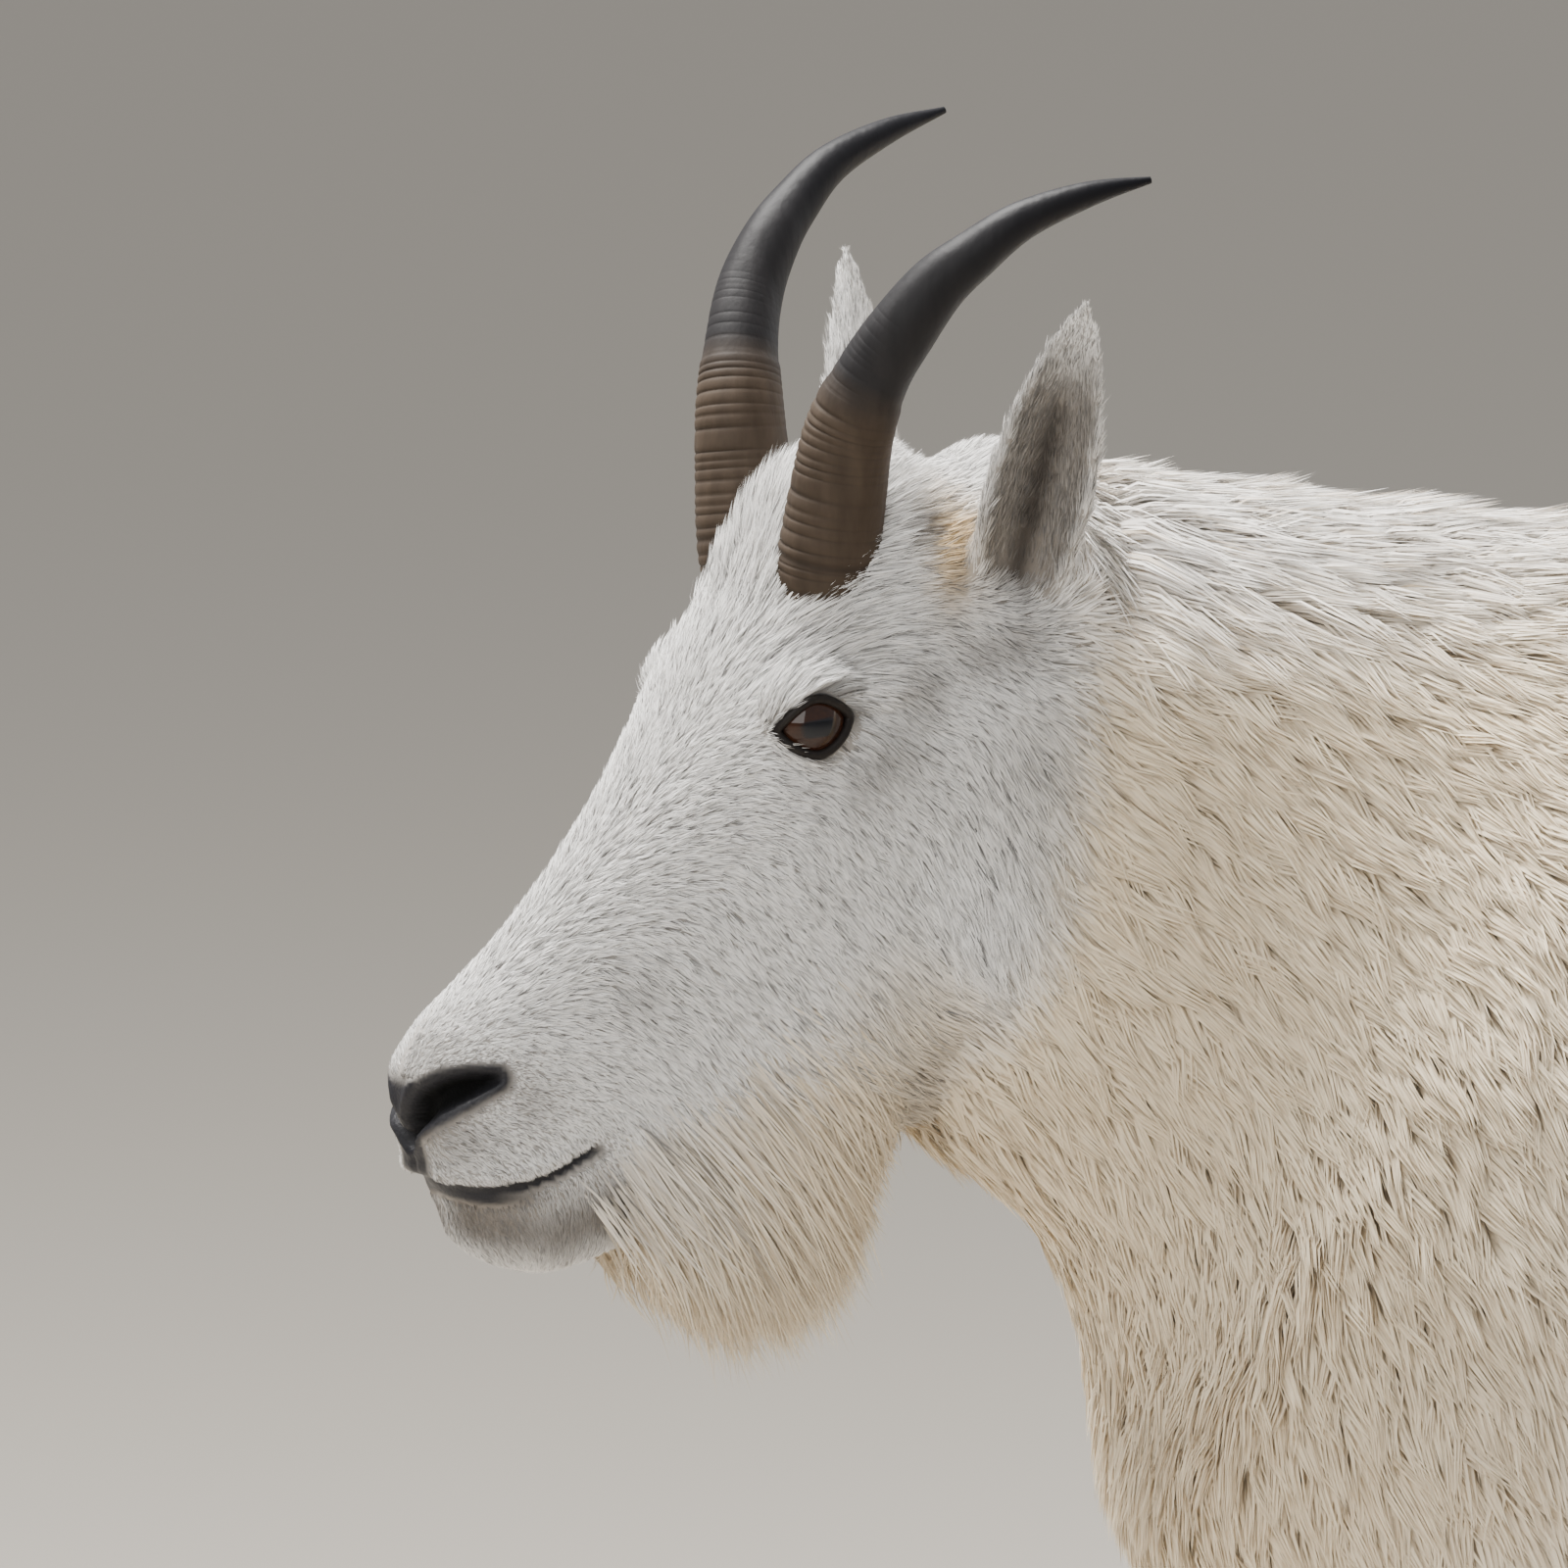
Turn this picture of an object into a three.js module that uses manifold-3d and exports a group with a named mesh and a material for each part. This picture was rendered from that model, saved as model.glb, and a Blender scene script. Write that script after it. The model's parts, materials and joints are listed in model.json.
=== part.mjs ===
// A life-size mountain goat, an adult nanny, standing still with its head turned a little to its left.
// Millimetres, +Z up. The goat faces -X, its left side is toward -Y and its hooves stand on z = 0.
// Every surface is the outline of the coat, out to the tips of its hair.
import * as THREE from "three";
import { LoftGeometry } from "three/addons/geometries/LoftGeometry.js";
import { mergeVertices } from "three/addons/utils/BufferGeometryUtils.js";
import Module from "manifold-3d";

const wasm = await Module();
wasm.setup();

// Driving dimensions
const EYE_HEIGHT = 790; // floor to the point midway between the eyes
const HEAD_OFFSET = 85; // how far that point lies to the goat's left of the body's middle
const HEAD_TURN = 26.5; // degrees, to the goat's left
const FACE_PITCH = 50.7; // degrees that the bridge of the nose drops below level
const GAP = 0.3; // clearance between neighbouring solids
const CUT = 0.4; // thickness of the cuts between parts of the body
const EYE_RADIUS = 16.5;
const EYE_SPREAD = 43; // eyeball centre to the head's middle plane
const CORONET = 46; // height of the hoof's top edge
const TOE_HALF_WIDTH = 12.5;
const TOE_SPREAD = 14.5; // toe centre to the foot's centre line

const coat = { color: 0xeae4d6, roughness: 0.9, metalness: 0 };
const horn = { color: 0x2b2623, roughness: 0.45, metalness: 0 };
const hoof = { color: 0x35302b, roughness: 0.6, metalness: 0 };
const eye = { color: 0x22140d, roughness: 0.12, metalness: 0 };

const goat = new THREE.Group();
const v3 = (x, y, z) => new THREE.Vector3(x, y, z);

// Solids
// A closed three.js geometry as a solid, with its faces pointing out.
function solid(geometry) {
  const bare = new THREE.BufferGeometry();
  bare.setAttribute("position", geometry.getAttribute("position"));
  bare.setIndex(geometry.index);
  const merged = mergeVertices(bare, 1e-3);
  const points = Float32Array.from(merged.getAttribute("position").array);
  const faces = Array.from(merged.index.array);
  const kept = [];
  for (let i = 0; i < faces.length; i += 3) {
    const [a, b, c] = faces.slice(i, i + 3);
    if (a !== b && b !== c && a !== c) kept.push(a, b, c);
  }
  const mesh = { numProp: 3, vertProperties: points, triVerts: Uint32Array.from(kept) };
  return new wasm.Manifold(new wasm.Mesh(mesh));
}

// A solid as a named mesh of the group.
function place(name, body, look) {
  const data = body.getMesh();
  const geometry = new THREE.BufferGeometry();
  geometry.setAttribute("position", new THREE.Float32BufferAttribute(data.vertProperties, 3));
  geometry.setIndex(Array.from(data.triVerts));
  geometry.computeVertexNormals();
  const mesh = new THREE.Mesh(geometry, new THREE.MeshStandardMaterial(look));
  mesh.name = name;
  goat.add(mesh);
  return mesh;
}

// A closed skin through stations. Each station has the two ends of its tall axis (top, bottom), the
// direction of its wide axis (side), its half width, how square its outline is, and its taper, which
// is above zero where the outline is wider toward the top.
function loft(stations, perSpan, around) {
  const along = (pick) => new THREE.CatmullRomCurve3(stations.map(pick));
  const tops = along((s) => s.top);
  const bottoms = along((s) => s.bottom);
  const sides = along((s) => s.side);
  const shapes = along((s) => v3(s.half, 10 * (s.square ?? 2.2), 100 * (s.taper ?? 0)));
  const steps = (stations.length - 1) * perSpan;
  const middleOf = (s) => s.top.clone().add(s.bottom).multiplyScalar(0.5);
  const travel = middleOf(stations[1]).sub(middleOf(stations[0]));
  const ringNormal = stations[0].top.clone().sub(stations[0].bottom).cross(stations[0].side);
  const sections = [];
  for (let i = 0; i <= steps; i += 1) {
    const [top, bottom, side, shape] = [tops, bottoms, sides, shapes].map((c) => c.getPoint(i / steps));
    const middle = middleOf({ top, bottom });
    const up = top.clone().sub(middle);
    side.normalize();
    const power = 20 / shape.y;
    const ring = [];
    for (let k = 0; k < around; k += 1) {
      const angle = (2 * Math.PI * (k + 0.5)) / around;
      const rise = Math.sign(Math.cos(angle)) * Math.abs(Math.cos(angle)) ** power;
      const reach = Math.sign(Math.sin(angle)) * Math.abs(Math.sin(angle)) ** power;
      const width = shape.x * reach * (1 + (shape.z / 100) * rise);
      ring.push(middle.clone().addScaledVector(up, rise).addScaledVector(side, width));
    }
    sections.push(ringNormal.dot(travel) > 0 ? ring : ring.reverse());
  }
  return solid(new LoftGeometry(sections, { capStart: true, capEnd: true }));
}

// A round or oval bar along a path. Each stop has its centre, its half size along the given
// direction (tall) and its half size across it (half), and faces along the path or its own run.
function bar(stops, direction, perSpan, around) {
  const stations = stops.map((stop, i) => {
    const before = stops[Math.max(i - 1, 0)].at;
    const after = stops[Math.min(i + 1, stops.length - 1)].at;
    const run = stop.run ?? after.clone().sub(before).normalize();
    const side = run.clone().cross(direction).normalize();
    const tall = side.clone().cross(run).normalize();
    return {
      top: stop.at.clone().addScaledVector(tall, stop.tall),
      bottom: stop.at.clone().addScaledVector(tall, -stop.tall),
      side,
      half: stop.half,
      square: stop.square ?? 2,
      taper: stop.taper ?? 0,
    };
  });
  return loft(stations, perSpan, around);
}

// A thin sheet from a to b that reaches across by width along side.
function blade(a, b, side, width) {
  const run = b.clone().sub(a);
  const along = run.clone().normalize();
  const normal = along.clone().cross(side).normalize();
  const across = normal.clone().cross(along);
  const geometry = new THREE.BoxGeometry(run.length(), width, CUT);
  const frame = new THREE.Matrix4().makeBasis(along, across, normal);
  frame.setPosition(a.clone().addScaledVector(run, 0.5));
  return solid(geometry.applyMatrix4(frame));
}

// A ball stretched to the three half sizes, in the head's frame.
function pocket(centre, sizes, tilt = 0) {
  const geometry = new THREE.SphereGeometry(1, 10, 6).scale(...sizes).rotateY(tilt);
  return solid(geometry.translate(centre.x, centre.y, centre.z).applyMatrix4(headFrame));
}

// What is left of a piece outside the flesh, moved out of it by one gap.
function fitted(body, away) {
  const outside = body.subtract(flesh).decompose().sort((a, b) => b.volume() - a.volume());
  return outside[0].translate(away.clone().multiplyScalar(GAP).toArray());
}

// Head frame: +X runs down the bridge of the nose, +Y to the goat's left, +Z up out of the face.
const turn = THREE.MathUtils.degToRad(HEAD_TURN);
const pitch = THREE.MathUtils.degToRad(FACE_PITCH);
const headFrame = new THREE.Matrix4()
  .makeTranslation(0, -HEAD_OFFSET, EYE_HEIGHT)
  .multiply(new THREE.Matrix4().makeRotationZ(Math.PI + turn))
  .multiply(new THREE.Matrix4().makeRotationY(pitch));
const inHead = (x, y, z) => v3(x, y, z).applyMatrix4(headFrame);
const headSide = v3(0, 1, 0).transformDirection(headFrame);
const headway = (x, y, z) => v3(x, y, z).transformDirection(headFrame);

// Head: [top x, top z, bottom x, bottom z, half width, squareness, taper] from the poll to the lips.
const headStations = [
  [-112, -20, 10, -146, 54, 2.2, -0.04],
  [-102, 28, 46, -150, 60, 2.2, -0.04],
  [-70, 48, 72, -147, 61, 2.2, 0.02],
  [-28, 40, 92, -134, 58, 2.25, 0.1],
  [8, 31, 108, -124, 56, 2.3, 0.2],
  [40, 27, 125, -114, 47, 2.3, 0.14],
  [75, 26, 145, -102, 39, 2.3, 0.02],
  [110, 27, 163, -91, 33, 2.4, -0.02],
  [142, 31, 183, -80, 30, 2.5, -0.06],
  [168, 34, 202, -68, 29, 2.6, -0.04],
  [187, 29, 214, -52, 26, 2.6, 0.02],
  [200, 13, 219, -36, 19, 2.4, 0.06],
  [207, 1, 217, -22, 9, 2.2, 0],
].map(([tx, tz, bx, bz, half, square, taper]) => ({
  top: inHead(tx, 0, tz),
  bottom: inHead(bx, 0, bz),
  side: headSide,
  half,
  square,
  taper,
}));

// Neck and trunk: [top x, top z, bottom x, bottom z, middle y, turn to the left, half width,
// squareness, taper], heights from the level of the eyes.
const bodyStations = [
  [40, 70, 20, -118, -68, 0.45, 50, 2.2, 0],
  [83, 93, 58, -166, -48, 0.4, 78, 2.2, -0.05],
  [153, 81, 101, -200, -31, 0.3, 88, 2.2, -0.1],
  [223, 73, 121, -252, -16, 0.2, 105, 2.1, -0.14],
  [293, 64, 122, -290, -6, 0.1, 124, 2.1, -0.2],
  [375, 86, 120, -334, 0, 0, 146, 2.1, -0.28],
  [462, 122, 196, -370, 0, 0, 160, 2.1, -0.34],
  [570, 114, 400, -370, 0, 0, 168, 2.1, -0.3],
  [720, 86, 640, -352, 0, 0, 174, 2.2, -0.18],
  [860, 70, 800, -325, 0, 0, 172, 2.2, -0.14],
  [980, 62, 930, -290, 0, 0, 164, 2.2, -0.14],
  [1068, 24, 1036, -225, 0, 0, 134, 2.2, -0.16],
  [1112, -50, 1104, -150, 0, 0, 66, 2, -0.1],
].map(([tx, tz, bx, bz, y, twist, half, square, taper]) => ({
  top: v3(tx, y, EYE_HEIGHT + tz),
  bottom: v3(bx, y, EYE_HEIGHT + bz),
  side: v3(twist, -1, 0).normalize(),
  half,
  square,
  taper,
}));

// Legs: [x, z, y, half size fore and aft, half size across] down the leg, for the left side.
const foreLeg = [
  [300, 570, 92, 112, 50],
  [314, 470, 94, 80, 50],
  [314, 385, 94, 61, 45],
  [308, 305, 92, 47, 39],
  [303, 264, 91, 42, 36],
  [306, 222, 90, 34, 31],
  [307, 165, 90, 30, 28],
  [306, 108, 90, 33, 31],
  [298, 76, 90, 31, 30],
  [290, CORONET, 90, 33, 31],
];
const hindLeg = [
  [955, 650, 84, 120, 70],
  [942, 548, 96, 108, 62],
  [937, 462, 98, 86, 54],
  [962, 388, 96, 60, 45],
  [998, 332, 94, 47, 38],
  [1012, 290, 92, 42, 35],
  [1006, 248, 91, 35, 31],
  [994, 178, 90, 30, 28],
  [982, 108, 90, 33, 31],
  [972, 76, 90, 31, 30],
  [963, CORONET, 90, 33, 31],
];
const legs = {
  front_left: { path: foreLeg, side: -1, stride: -12 },
  front_right: { path: foreLeg, side: 1, stride: 30 },
  hind_left: { path: hindLeg, side: -1, stride: 20 },
  hind_right: { path: hindLeg, side: 1, stride: -35 },
};

// How far a leg has swung forward or back at a given height.
const swing = (leg, z) => leg.stride * (1 - z / leg.path[0][1]);
function legBody(leg) {
  const stops = leg.path.map(([x, z, y, tall, half]) => ({
    at: v3(x + swing(leg, z), leg.side * y, z),
    tall,
    half,
    square: 2.2,
    run: z === CORONET ? v3(0, 0, -1) : undefined,
  }));
  return bar(stops, v3(-1, 0, 0), 1, 12);
}

// Flesh: head, neck, trunk and legs joined, before the cuts that part them
let flesh = loft(headStations, 2, 24).add(loft(bodyStations, 2, 22));
for (const leg of Object.values(legs)) flesh = flesh.add(legBody(leg));

// Horns: [x, y, z, radius] along the centre line, for the left side, in the head's frame.
const hornPath = [
  [-40, 27, 10, 17.5],
  [-51, 30, 20, 18],
  [-73, 34.5, 35.5, 17],
  [-92, 39, 48, 15.6],
  [-112, 47, 57, 13.4],
  [-130, 55, 61.5, 12.4],
  [-148, 60.5, 63, 10.9],
  [-163, 66, 61, 9.3],
  [-183, 72, 56, 7.2],
  [-205, 77, 43, 4.7],
  [-223, 81, 28, 1.3],
];

// The right horn bows a little further forward than the left, and its tip stands a little higher.
function hornBody(side) {
  const last = hornPath.length - 1;
  const bow = (i) => (side < 0 ? 5 * Math.sin((Math.PI * i) / last) : 0);
  const lift = (i) => (side < 0 ? 9 * (i / last) ** 2 : 0);
  const stops = hornPath.map(([x, y, z, radius], i) => ({
    at: inHead(x + 0.7 * bow(i) - 0.78 * lift(i), side * y, z + bow(i) + 0.64 * lift(i)),
    tall: radius,
    half: radius * 0.94,
  }));
  return bar(stops, headway(0, 0, 1), 2, 10);
}

// Ears: a leaf with a hollow on the side that faces forward and out, [along, half width, half depth].
const earRoot = [-73, 54, -39];
const earTip = [-169, 95, 27];
const earLeaf = [
  [-14, 12, 12],
  [4, 15, 13],
  [28, 20, 12.5],
  [52, 21.5, 11.5],
  [78, 18.5, 9.5],
  [104, 12, 7],
  [121, 6, 4.2],
  [127, 2.2, 2],
];
const earFacing = v3(0.57, 0.799, 0.188);

function earBody(side) {
  const root = inHead(earRoot[0], side * earRoot[1], earRoot[2]);
  const tip = inHead(earTip[0], side * earTip[1], earTip[2]);
  const run = tip.clone().sub(root).normalize();
  const facing = v3(earFacing.x, side * earFacing.y, earFacing.z).transformDirection(headFrame);
  facing.addScaledVector(run, -facing.dot(run)).normalize();
  const leaf = earLeaf.map(([along, half, depth]) => ({ at: root.clone().addScaledVector(run, along), tall: depth, half }));
  const hollow = earLeaf.slice(1, 7).map(([along, half, depth]) => ({
    at: root.clone().addScaledVector(run, along + 2).addScaledVector(facing, depth * 0.66),
    tall: depth * 1.05,
    half: Math.max(half * 0.78, half - 4.5),
  }));
  return bar(leaf, facing, 1, 12).subtract(bar(hollow, facing, 1, 8));
}

// Beard: [root x, root z, tip x, tip z, half width] from its front edge to its back edge.
const beardStations = [
  [182, -66, 187, -86, 7],
  [174, -62, 191, -116, 14],
  [158, -66, 190, -143, 18],
  [141, -72, 171, -161, 21],
  [123, -80, 146, -164, 23],
  [106, -88, 122, -158, 24],
  [90, -98, 100, -149, 17],
].map(([rx, rz, tx, tz, half]) => ({
  top: inHead(rx, 0, rz),
  bottom: inHead(tx, 0, tz),
  side: headSide,
  half,
  square: 2,
  taper: 0.45,
}));

// Tail: a short tuft that hangs down behind the rump.
const tailStops = [
  { at: v3(1060, 0, 792), tall: 22, half: 24 },
  { at: v3(1094, 0, 778), tall: 22, half: 26 },
  { at: v3(1119, 0, 748), tall: 19, half: 26 },
  { at: v3(1128, 0, 710), tall: 13, half: 20 },
  { at: v3(1127, 0, 678), tall: 4, half: 7 },
];

// Mouth: a slit from the front of the lips to the corner, left out of the middle of the muzzle.
function mouthSlit() {
  const line = [[224, -3], [210, -9], [193, -24], [162, -41]];
  const lower = line.map(([x, z]) => new THREE.Vector2(x - 0.8, z - 1.2)).reverse();
  const outline = new THREE.Shape([...line.map(([x, z]) => new THREE.Vector2(x, z)), ...lower]);
  const band = new THREE.ExtrudeGeometry(outline, { depth: 80, bevelEnabled: false, steps: 1 });
  const core = new THREE.BoxGeometry(60, 26, 80).translate(176, 0, -20);
  band.rotateX(Math.PI / 2).translate(0, 40, 0);
  return solid(band.applyMatrix4(headFrame)).subtract(solid(core.applyMatrix4(headFrame)));
}

// Pieces that are set against the flesh, each moved out by the gap
const fittings = [];
for (const [name, side] of [["left", 1], ["right", -1]]) {
  fittings.push([`horn_${name}`, fitted(hornBody(side), headway(-0.75, side * 0.1, 0.6)), horn]);
  fittings.push([`ear_${name}`, fitted(earBody(side), headway(-0.7, side * 0.42, 0.55)), coat]);
}
fittings.push(["beard", fitted(loft(beardStations, 1, 14), headway(0.1, 0, -1)), coat]);
fittings.push(["tail", fitted(bar(tailStops, v3(1, 0, 0), 2, 12), v3(1, 0, 0)), coat]);

// Hooves: two toes to each foot, and two dewclaws behind the pastern.
function toeBody(x, y) {
  const edge = (z, front, back, half) => ({
    top: v3(x + front, y, z),
    bottom: v3(x + back, y, z),
    side: v3(0, 1, 0),
    half,
    square: 2.5,
    taper: -0.12,
  });
  const top = CORONET - GAP;
  return loft([
    edge(0, -38, 24, TOE_HALF_WIDTH),
    edge(6, -37, 25, TOE_HALF_WIDTH),
    edge(top * 0.55, -31, 26, TOE_HALF_WIDTH - 0.4),
    edge(top, -23, 25, TOE_HALF_WIDTH - 1.5),
  ], 1, 12);
}

for (const [name, leg] of Object.entries(legs)) {
  const foot = leg.path.at(-1);
  const x = foot[0] + swing(leg, foot[1]);
  const y = leg.side * foot[2];
  for (const [toe, offset] of [["outer", leg.side], ["inner", -leg.side]]) {
    fittings.push([`hoof_${name}_${toe}`, toeBody(x, y + offset * TOE_SPREAD), hoof]);
    const claw = bar([
      { at: v3(x + 20, y + offset * 13, 84), tall: 9, half: 9 },
      { at: v3(x + 34, y + offset * 14, 74), tall: 8, half: 8 },
      { at: v3(x + 42, y + offset * 14, 64), tall: 4.5, half: 5.5 },
    ], v3(1, 0, 0), 1, 8);
    fittings.push([`dewclaw_${name}_${toe}`, fitted(claw, v3(1, 0, -0.3)), hoof]);
  }
}

// Eyes, sockets, nostrils and mouth
const ball = (radius) => new THREE.SphereGeometry(radius, 16, 8);
for (const side of [1, -1]) {
  const centre = inHead(0, side * EYE_SPREAD, 0);
  flesh = flesh.subtract(solid(ball(EYE_RADIUS + GAP).translate(centre.x, centre.y, centre.z)));
  flesh = flesh.subtract(pocket(v3(0, side * 60, 0), [14.5, 10, 8.5], 0.1));
  flesh = flesh.subtract(pocket(v3(192, side * 24, 15), [13, 5.5, 6.5], -0.5));
}
flesh = flesh.subtract(mouthSlit());

// Cuts: head from neck, neck from trunk, and each leg from the trunk and at its joints
const sideways = v3(0, 1, 0);
const cuts = [
  blade(v3(70, 0, 930), v3(66, 0, 590), v3(0.4, -0.917, 0), 320),
  blade(v3(352, 0, 920), v3(146, 0, 400), sideways, 700),
  blade(v3(200, 0, 408), v3(470, 0, 408), sideways, 500),
  blade(v3(800, 0, 440), v3(1120, 0, 568), sideways, 560),
  blade(v3(230, 0, 282), v3(1080, 0, 288), sideways, 500),
  blade(v3(230, 0, 92), v3(1080, 0, 92), sideways, 500),
];
for (const cut of cuts) flesh = flesh.subtract(cut);

// Each loose piece takes the name of the nearest of these points.
const labels = { head: inHead(40, 0, -50), neck: v3(200, -20, 700), trunk: v3(700, 0, 650) };
for (const [name, leg] of Object.entries(legs)) {
  const fore = name.startsWith("front");
  for (const [part, z] of [["upper", fore ? 340 : 380], ["lower", 185], ["foot", 70]]) {
    const x = (fore ? 306 : 985) + swing(leg, z);
    labels[`leg_${name}_${part}`] = v3(x, leg.side * 102, z);
  }
}
for (const piece of flesh.decompose()) {
  const box = piece.boundingBox();
  const centre = v3(...box.min).add(v3(...box.max)).multiplyScalar(0.5);
  const [name] = Object.entries(labels).sort((a, b) => a[1].distanceTo(centre) - b[1].distanceTo(centre))[0];
  place(name, piece, coat);
}
for (const [name, body, look] of fittings) place(name, body, look);

for (const [name, side] of [["left", 1], ["right", -1]]) {
  const mesh = new THREE.Mesh(ball(EYE_RADIUS), new THREE.MeshStandardMaterial(eye));
  mesh.name = `eye_${name}`;
  mesh.position.copy(inHead(0, side * EYE_SPREAD, 0));
  goat.add(mesh);
}

// The origin is below the middle of the whole goat, on the floor.
const bounds = new THREE.Box3().setFromObject(goat, true);
goat.position.set(-(bounds.min.x + bounds.max.x) / 2, -(bounds.min.y + bounds.max.y) / 2, -bounds.min.z);

export default goat;
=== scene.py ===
# %% [markdown]
# A life-size mountain goat, as a museum would show it: a nanny with a deep white coat, slim dark horns
# and a short beard, standing square with her head turned a little to her left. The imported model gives
# the outline out to the tips of the hair. This script puts a skin inside that outline and grows the
# coat on it, so the two always agree in size.

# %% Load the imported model
import json
import math

import bmesh
import bpy
import numpy as np
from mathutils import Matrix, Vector, kdtree
from mathutils.bvhtree import BVHTree

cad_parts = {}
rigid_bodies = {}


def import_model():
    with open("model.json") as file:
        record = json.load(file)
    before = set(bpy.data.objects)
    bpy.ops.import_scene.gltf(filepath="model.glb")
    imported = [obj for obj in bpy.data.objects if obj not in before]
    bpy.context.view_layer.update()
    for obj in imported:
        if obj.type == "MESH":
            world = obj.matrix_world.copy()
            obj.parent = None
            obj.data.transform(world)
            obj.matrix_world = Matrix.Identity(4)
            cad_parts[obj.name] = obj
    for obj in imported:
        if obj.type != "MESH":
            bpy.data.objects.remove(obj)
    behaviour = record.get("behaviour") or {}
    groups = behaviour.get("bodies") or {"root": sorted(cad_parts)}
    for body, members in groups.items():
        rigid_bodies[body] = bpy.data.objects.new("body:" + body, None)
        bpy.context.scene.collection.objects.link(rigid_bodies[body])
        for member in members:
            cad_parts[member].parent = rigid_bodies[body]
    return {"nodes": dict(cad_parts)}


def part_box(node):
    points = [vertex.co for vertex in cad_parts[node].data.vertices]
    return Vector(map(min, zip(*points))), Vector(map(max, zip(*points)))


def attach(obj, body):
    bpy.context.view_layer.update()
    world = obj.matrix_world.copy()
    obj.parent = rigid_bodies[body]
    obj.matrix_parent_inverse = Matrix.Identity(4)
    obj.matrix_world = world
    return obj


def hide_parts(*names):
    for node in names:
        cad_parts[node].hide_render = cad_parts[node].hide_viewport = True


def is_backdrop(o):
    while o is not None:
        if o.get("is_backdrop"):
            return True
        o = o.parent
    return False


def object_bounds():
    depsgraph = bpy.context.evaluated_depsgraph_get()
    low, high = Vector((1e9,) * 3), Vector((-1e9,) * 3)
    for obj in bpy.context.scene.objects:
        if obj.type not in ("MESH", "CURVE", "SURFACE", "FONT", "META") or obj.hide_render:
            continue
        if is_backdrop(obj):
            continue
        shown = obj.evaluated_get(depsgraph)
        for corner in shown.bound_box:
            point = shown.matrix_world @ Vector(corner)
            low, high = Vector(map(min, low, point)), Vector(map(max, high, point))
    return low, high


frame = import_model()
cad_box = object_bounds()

scene = bpy.context.scene
dice = np.random.default_rng(7)
print("solids", len(frame["nodes"]))

# %% [markdown]
# Two frames make the numbers easy to read. In the head's frame X runs down the bridge of the nose, Y to
# the goat's left and Z up out of the face, in millimetres from the point midway between the eyes. In the
# body's frame X runs toward the tail and Z up from the floor. Both are found from the two eyeballs.

# %% Frames of the head and the body
MM = 1000
HEAD_TURN = math.radians(26.5)
FACE_PITCH = math.radians(50.7)
EYES_IN_BODY = np.array([0.0, -0.085, 0.790])


def middle_of(node):
    low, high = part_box(node)
    return np.array((low + high) / 2)


between_eyes = (middle_of("eye_left") + middle_of("eye_right")) / 2
body_origin = between_eyes - EYES_IN_BODY
cos_turn, sin_turn = math.cos(HEAD_TURN), math.sin(HEAD_TURN)
cos_pitch, sin_pitch = math.cos(FACE_PITCH), math.sin(FACE_PITCH)
head_axes = np.array([
    [-cos_pitch * cos_turn, -cos_pitch * sin_turn, -sin_pitch],
    [sin_turn, -cos_turn, 0.0],
    [-sin_pitch * cos_turn, -sin_pitch * sin_turn, cos_pitch],
])


def to_head(points):
    return (np.asarray(points) - between_eyes) @ head_axes.T * MM


def from_head(points):
    return between_eyes + np.asarray(points, float) @ head_axes / MM


def to_body(points):
    return (np.asarray(points) - body_origin) * MM


def from_body(points):
    return body_origin + np.asarray(points, float) / MM


print("between the eyes", between_eyes.round(3))

# %% [markdown]
# A few small tools turn up in every step. Shares from 0 to 1 say how much of something there is. The two
# halves of the head are worked out once, as if all of it were on the left, and flipped over.

# %% Small tools


def rise(values, start, end):
    """A share that goes smoothly from 0 at start to 1 at end."""
    t = np.clip((np.asarray(values, float) - start) / (end - start), 0, 1)
    return t * t * (3 - 2 * t)


def mix(first, second, share):
    return first + (second - first) * share


def unit(vectors):
    return vectors / (np.linalg.norm(vectors, axis=-1, keepdims=True) + 1e-12)


def near(points, centre, size):
    """A share that is 1 at the centre and fades over the size."""
    return np.exp(-(np.sum(((points - np.asarray(centre)) / size) ** 2, axis=1)))


def ridge(values, size):
    """A share that is 1 where the values are 0 and fades over the size."""
    return np.exp(-((values / size) ** 2))


def side_of(local):
    """1 on the left half of the head and -1 on the right."""
    return np.where(local[:, 1] < 0, -1.0, 1.0)


def flipped(rows, side):
    """Rows in the head's frame, taken from their own half to the left one or back."""
    return rows * np.stack([np.ones_like(side), side, np.ones_like(side)], axis=1)


print("halfway up a rise", rise(0.5, 0, 1))

# %% [markdown]
# The camera stands level with the goat's head height and looks down on it by eight degrees. A very long
# lens keeps the near and the far horn the same size, as a wildlife lens does, so the frame is only
# 0.56 m wide where the head is.

# %% Camera
PICTURE = 1600
EYES_SEEN = (763, 718)
FRAME_WIDTH = 0.56
CAMERA_DISTANCE = 8.0
SENSOR = 36
CAMERA_DROP = math.radians(8)
camera_right = np.array([1, 0, 0])
camera_up = np.array([0, math.sin(CAMERA_DROP), math.cos(CAMERA_DROP)])
camera_ahead = np.array([0, math.cos(CAMERA_DROP), -math.sin(CAMERA_DROP)])
pixel = FRAME_WIDTH / PICTURE
middle = PICTURE // 2
aim = between_eyes + camera_right * (middle - EYES_SEEN[0]) * pixel
aim = aim - camera_up * (middle - EYES_SEEN[1]) * pixel
camera_data = bpy.data.cameras.new("camera")
camera_data.sensor_width = SENSOR
camera_data.lens = SENSOR * CAMERA_DISTANCE / FRAME_WIDTH
camera_data.clip_end = 100
camera = bpy.data.objects.new("camera", camera_data)
camera.location = Vector(aim - camera_ahead * CAMERA_DISTANCE)
camera.rotation_euler = Vector(camera_ahead).to_track_quat("-Z", "Y").to_euler()
scene.collection.objects.link(camera)
scene.camera = camera
print("lens", round(camera_data.lens))

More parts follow.
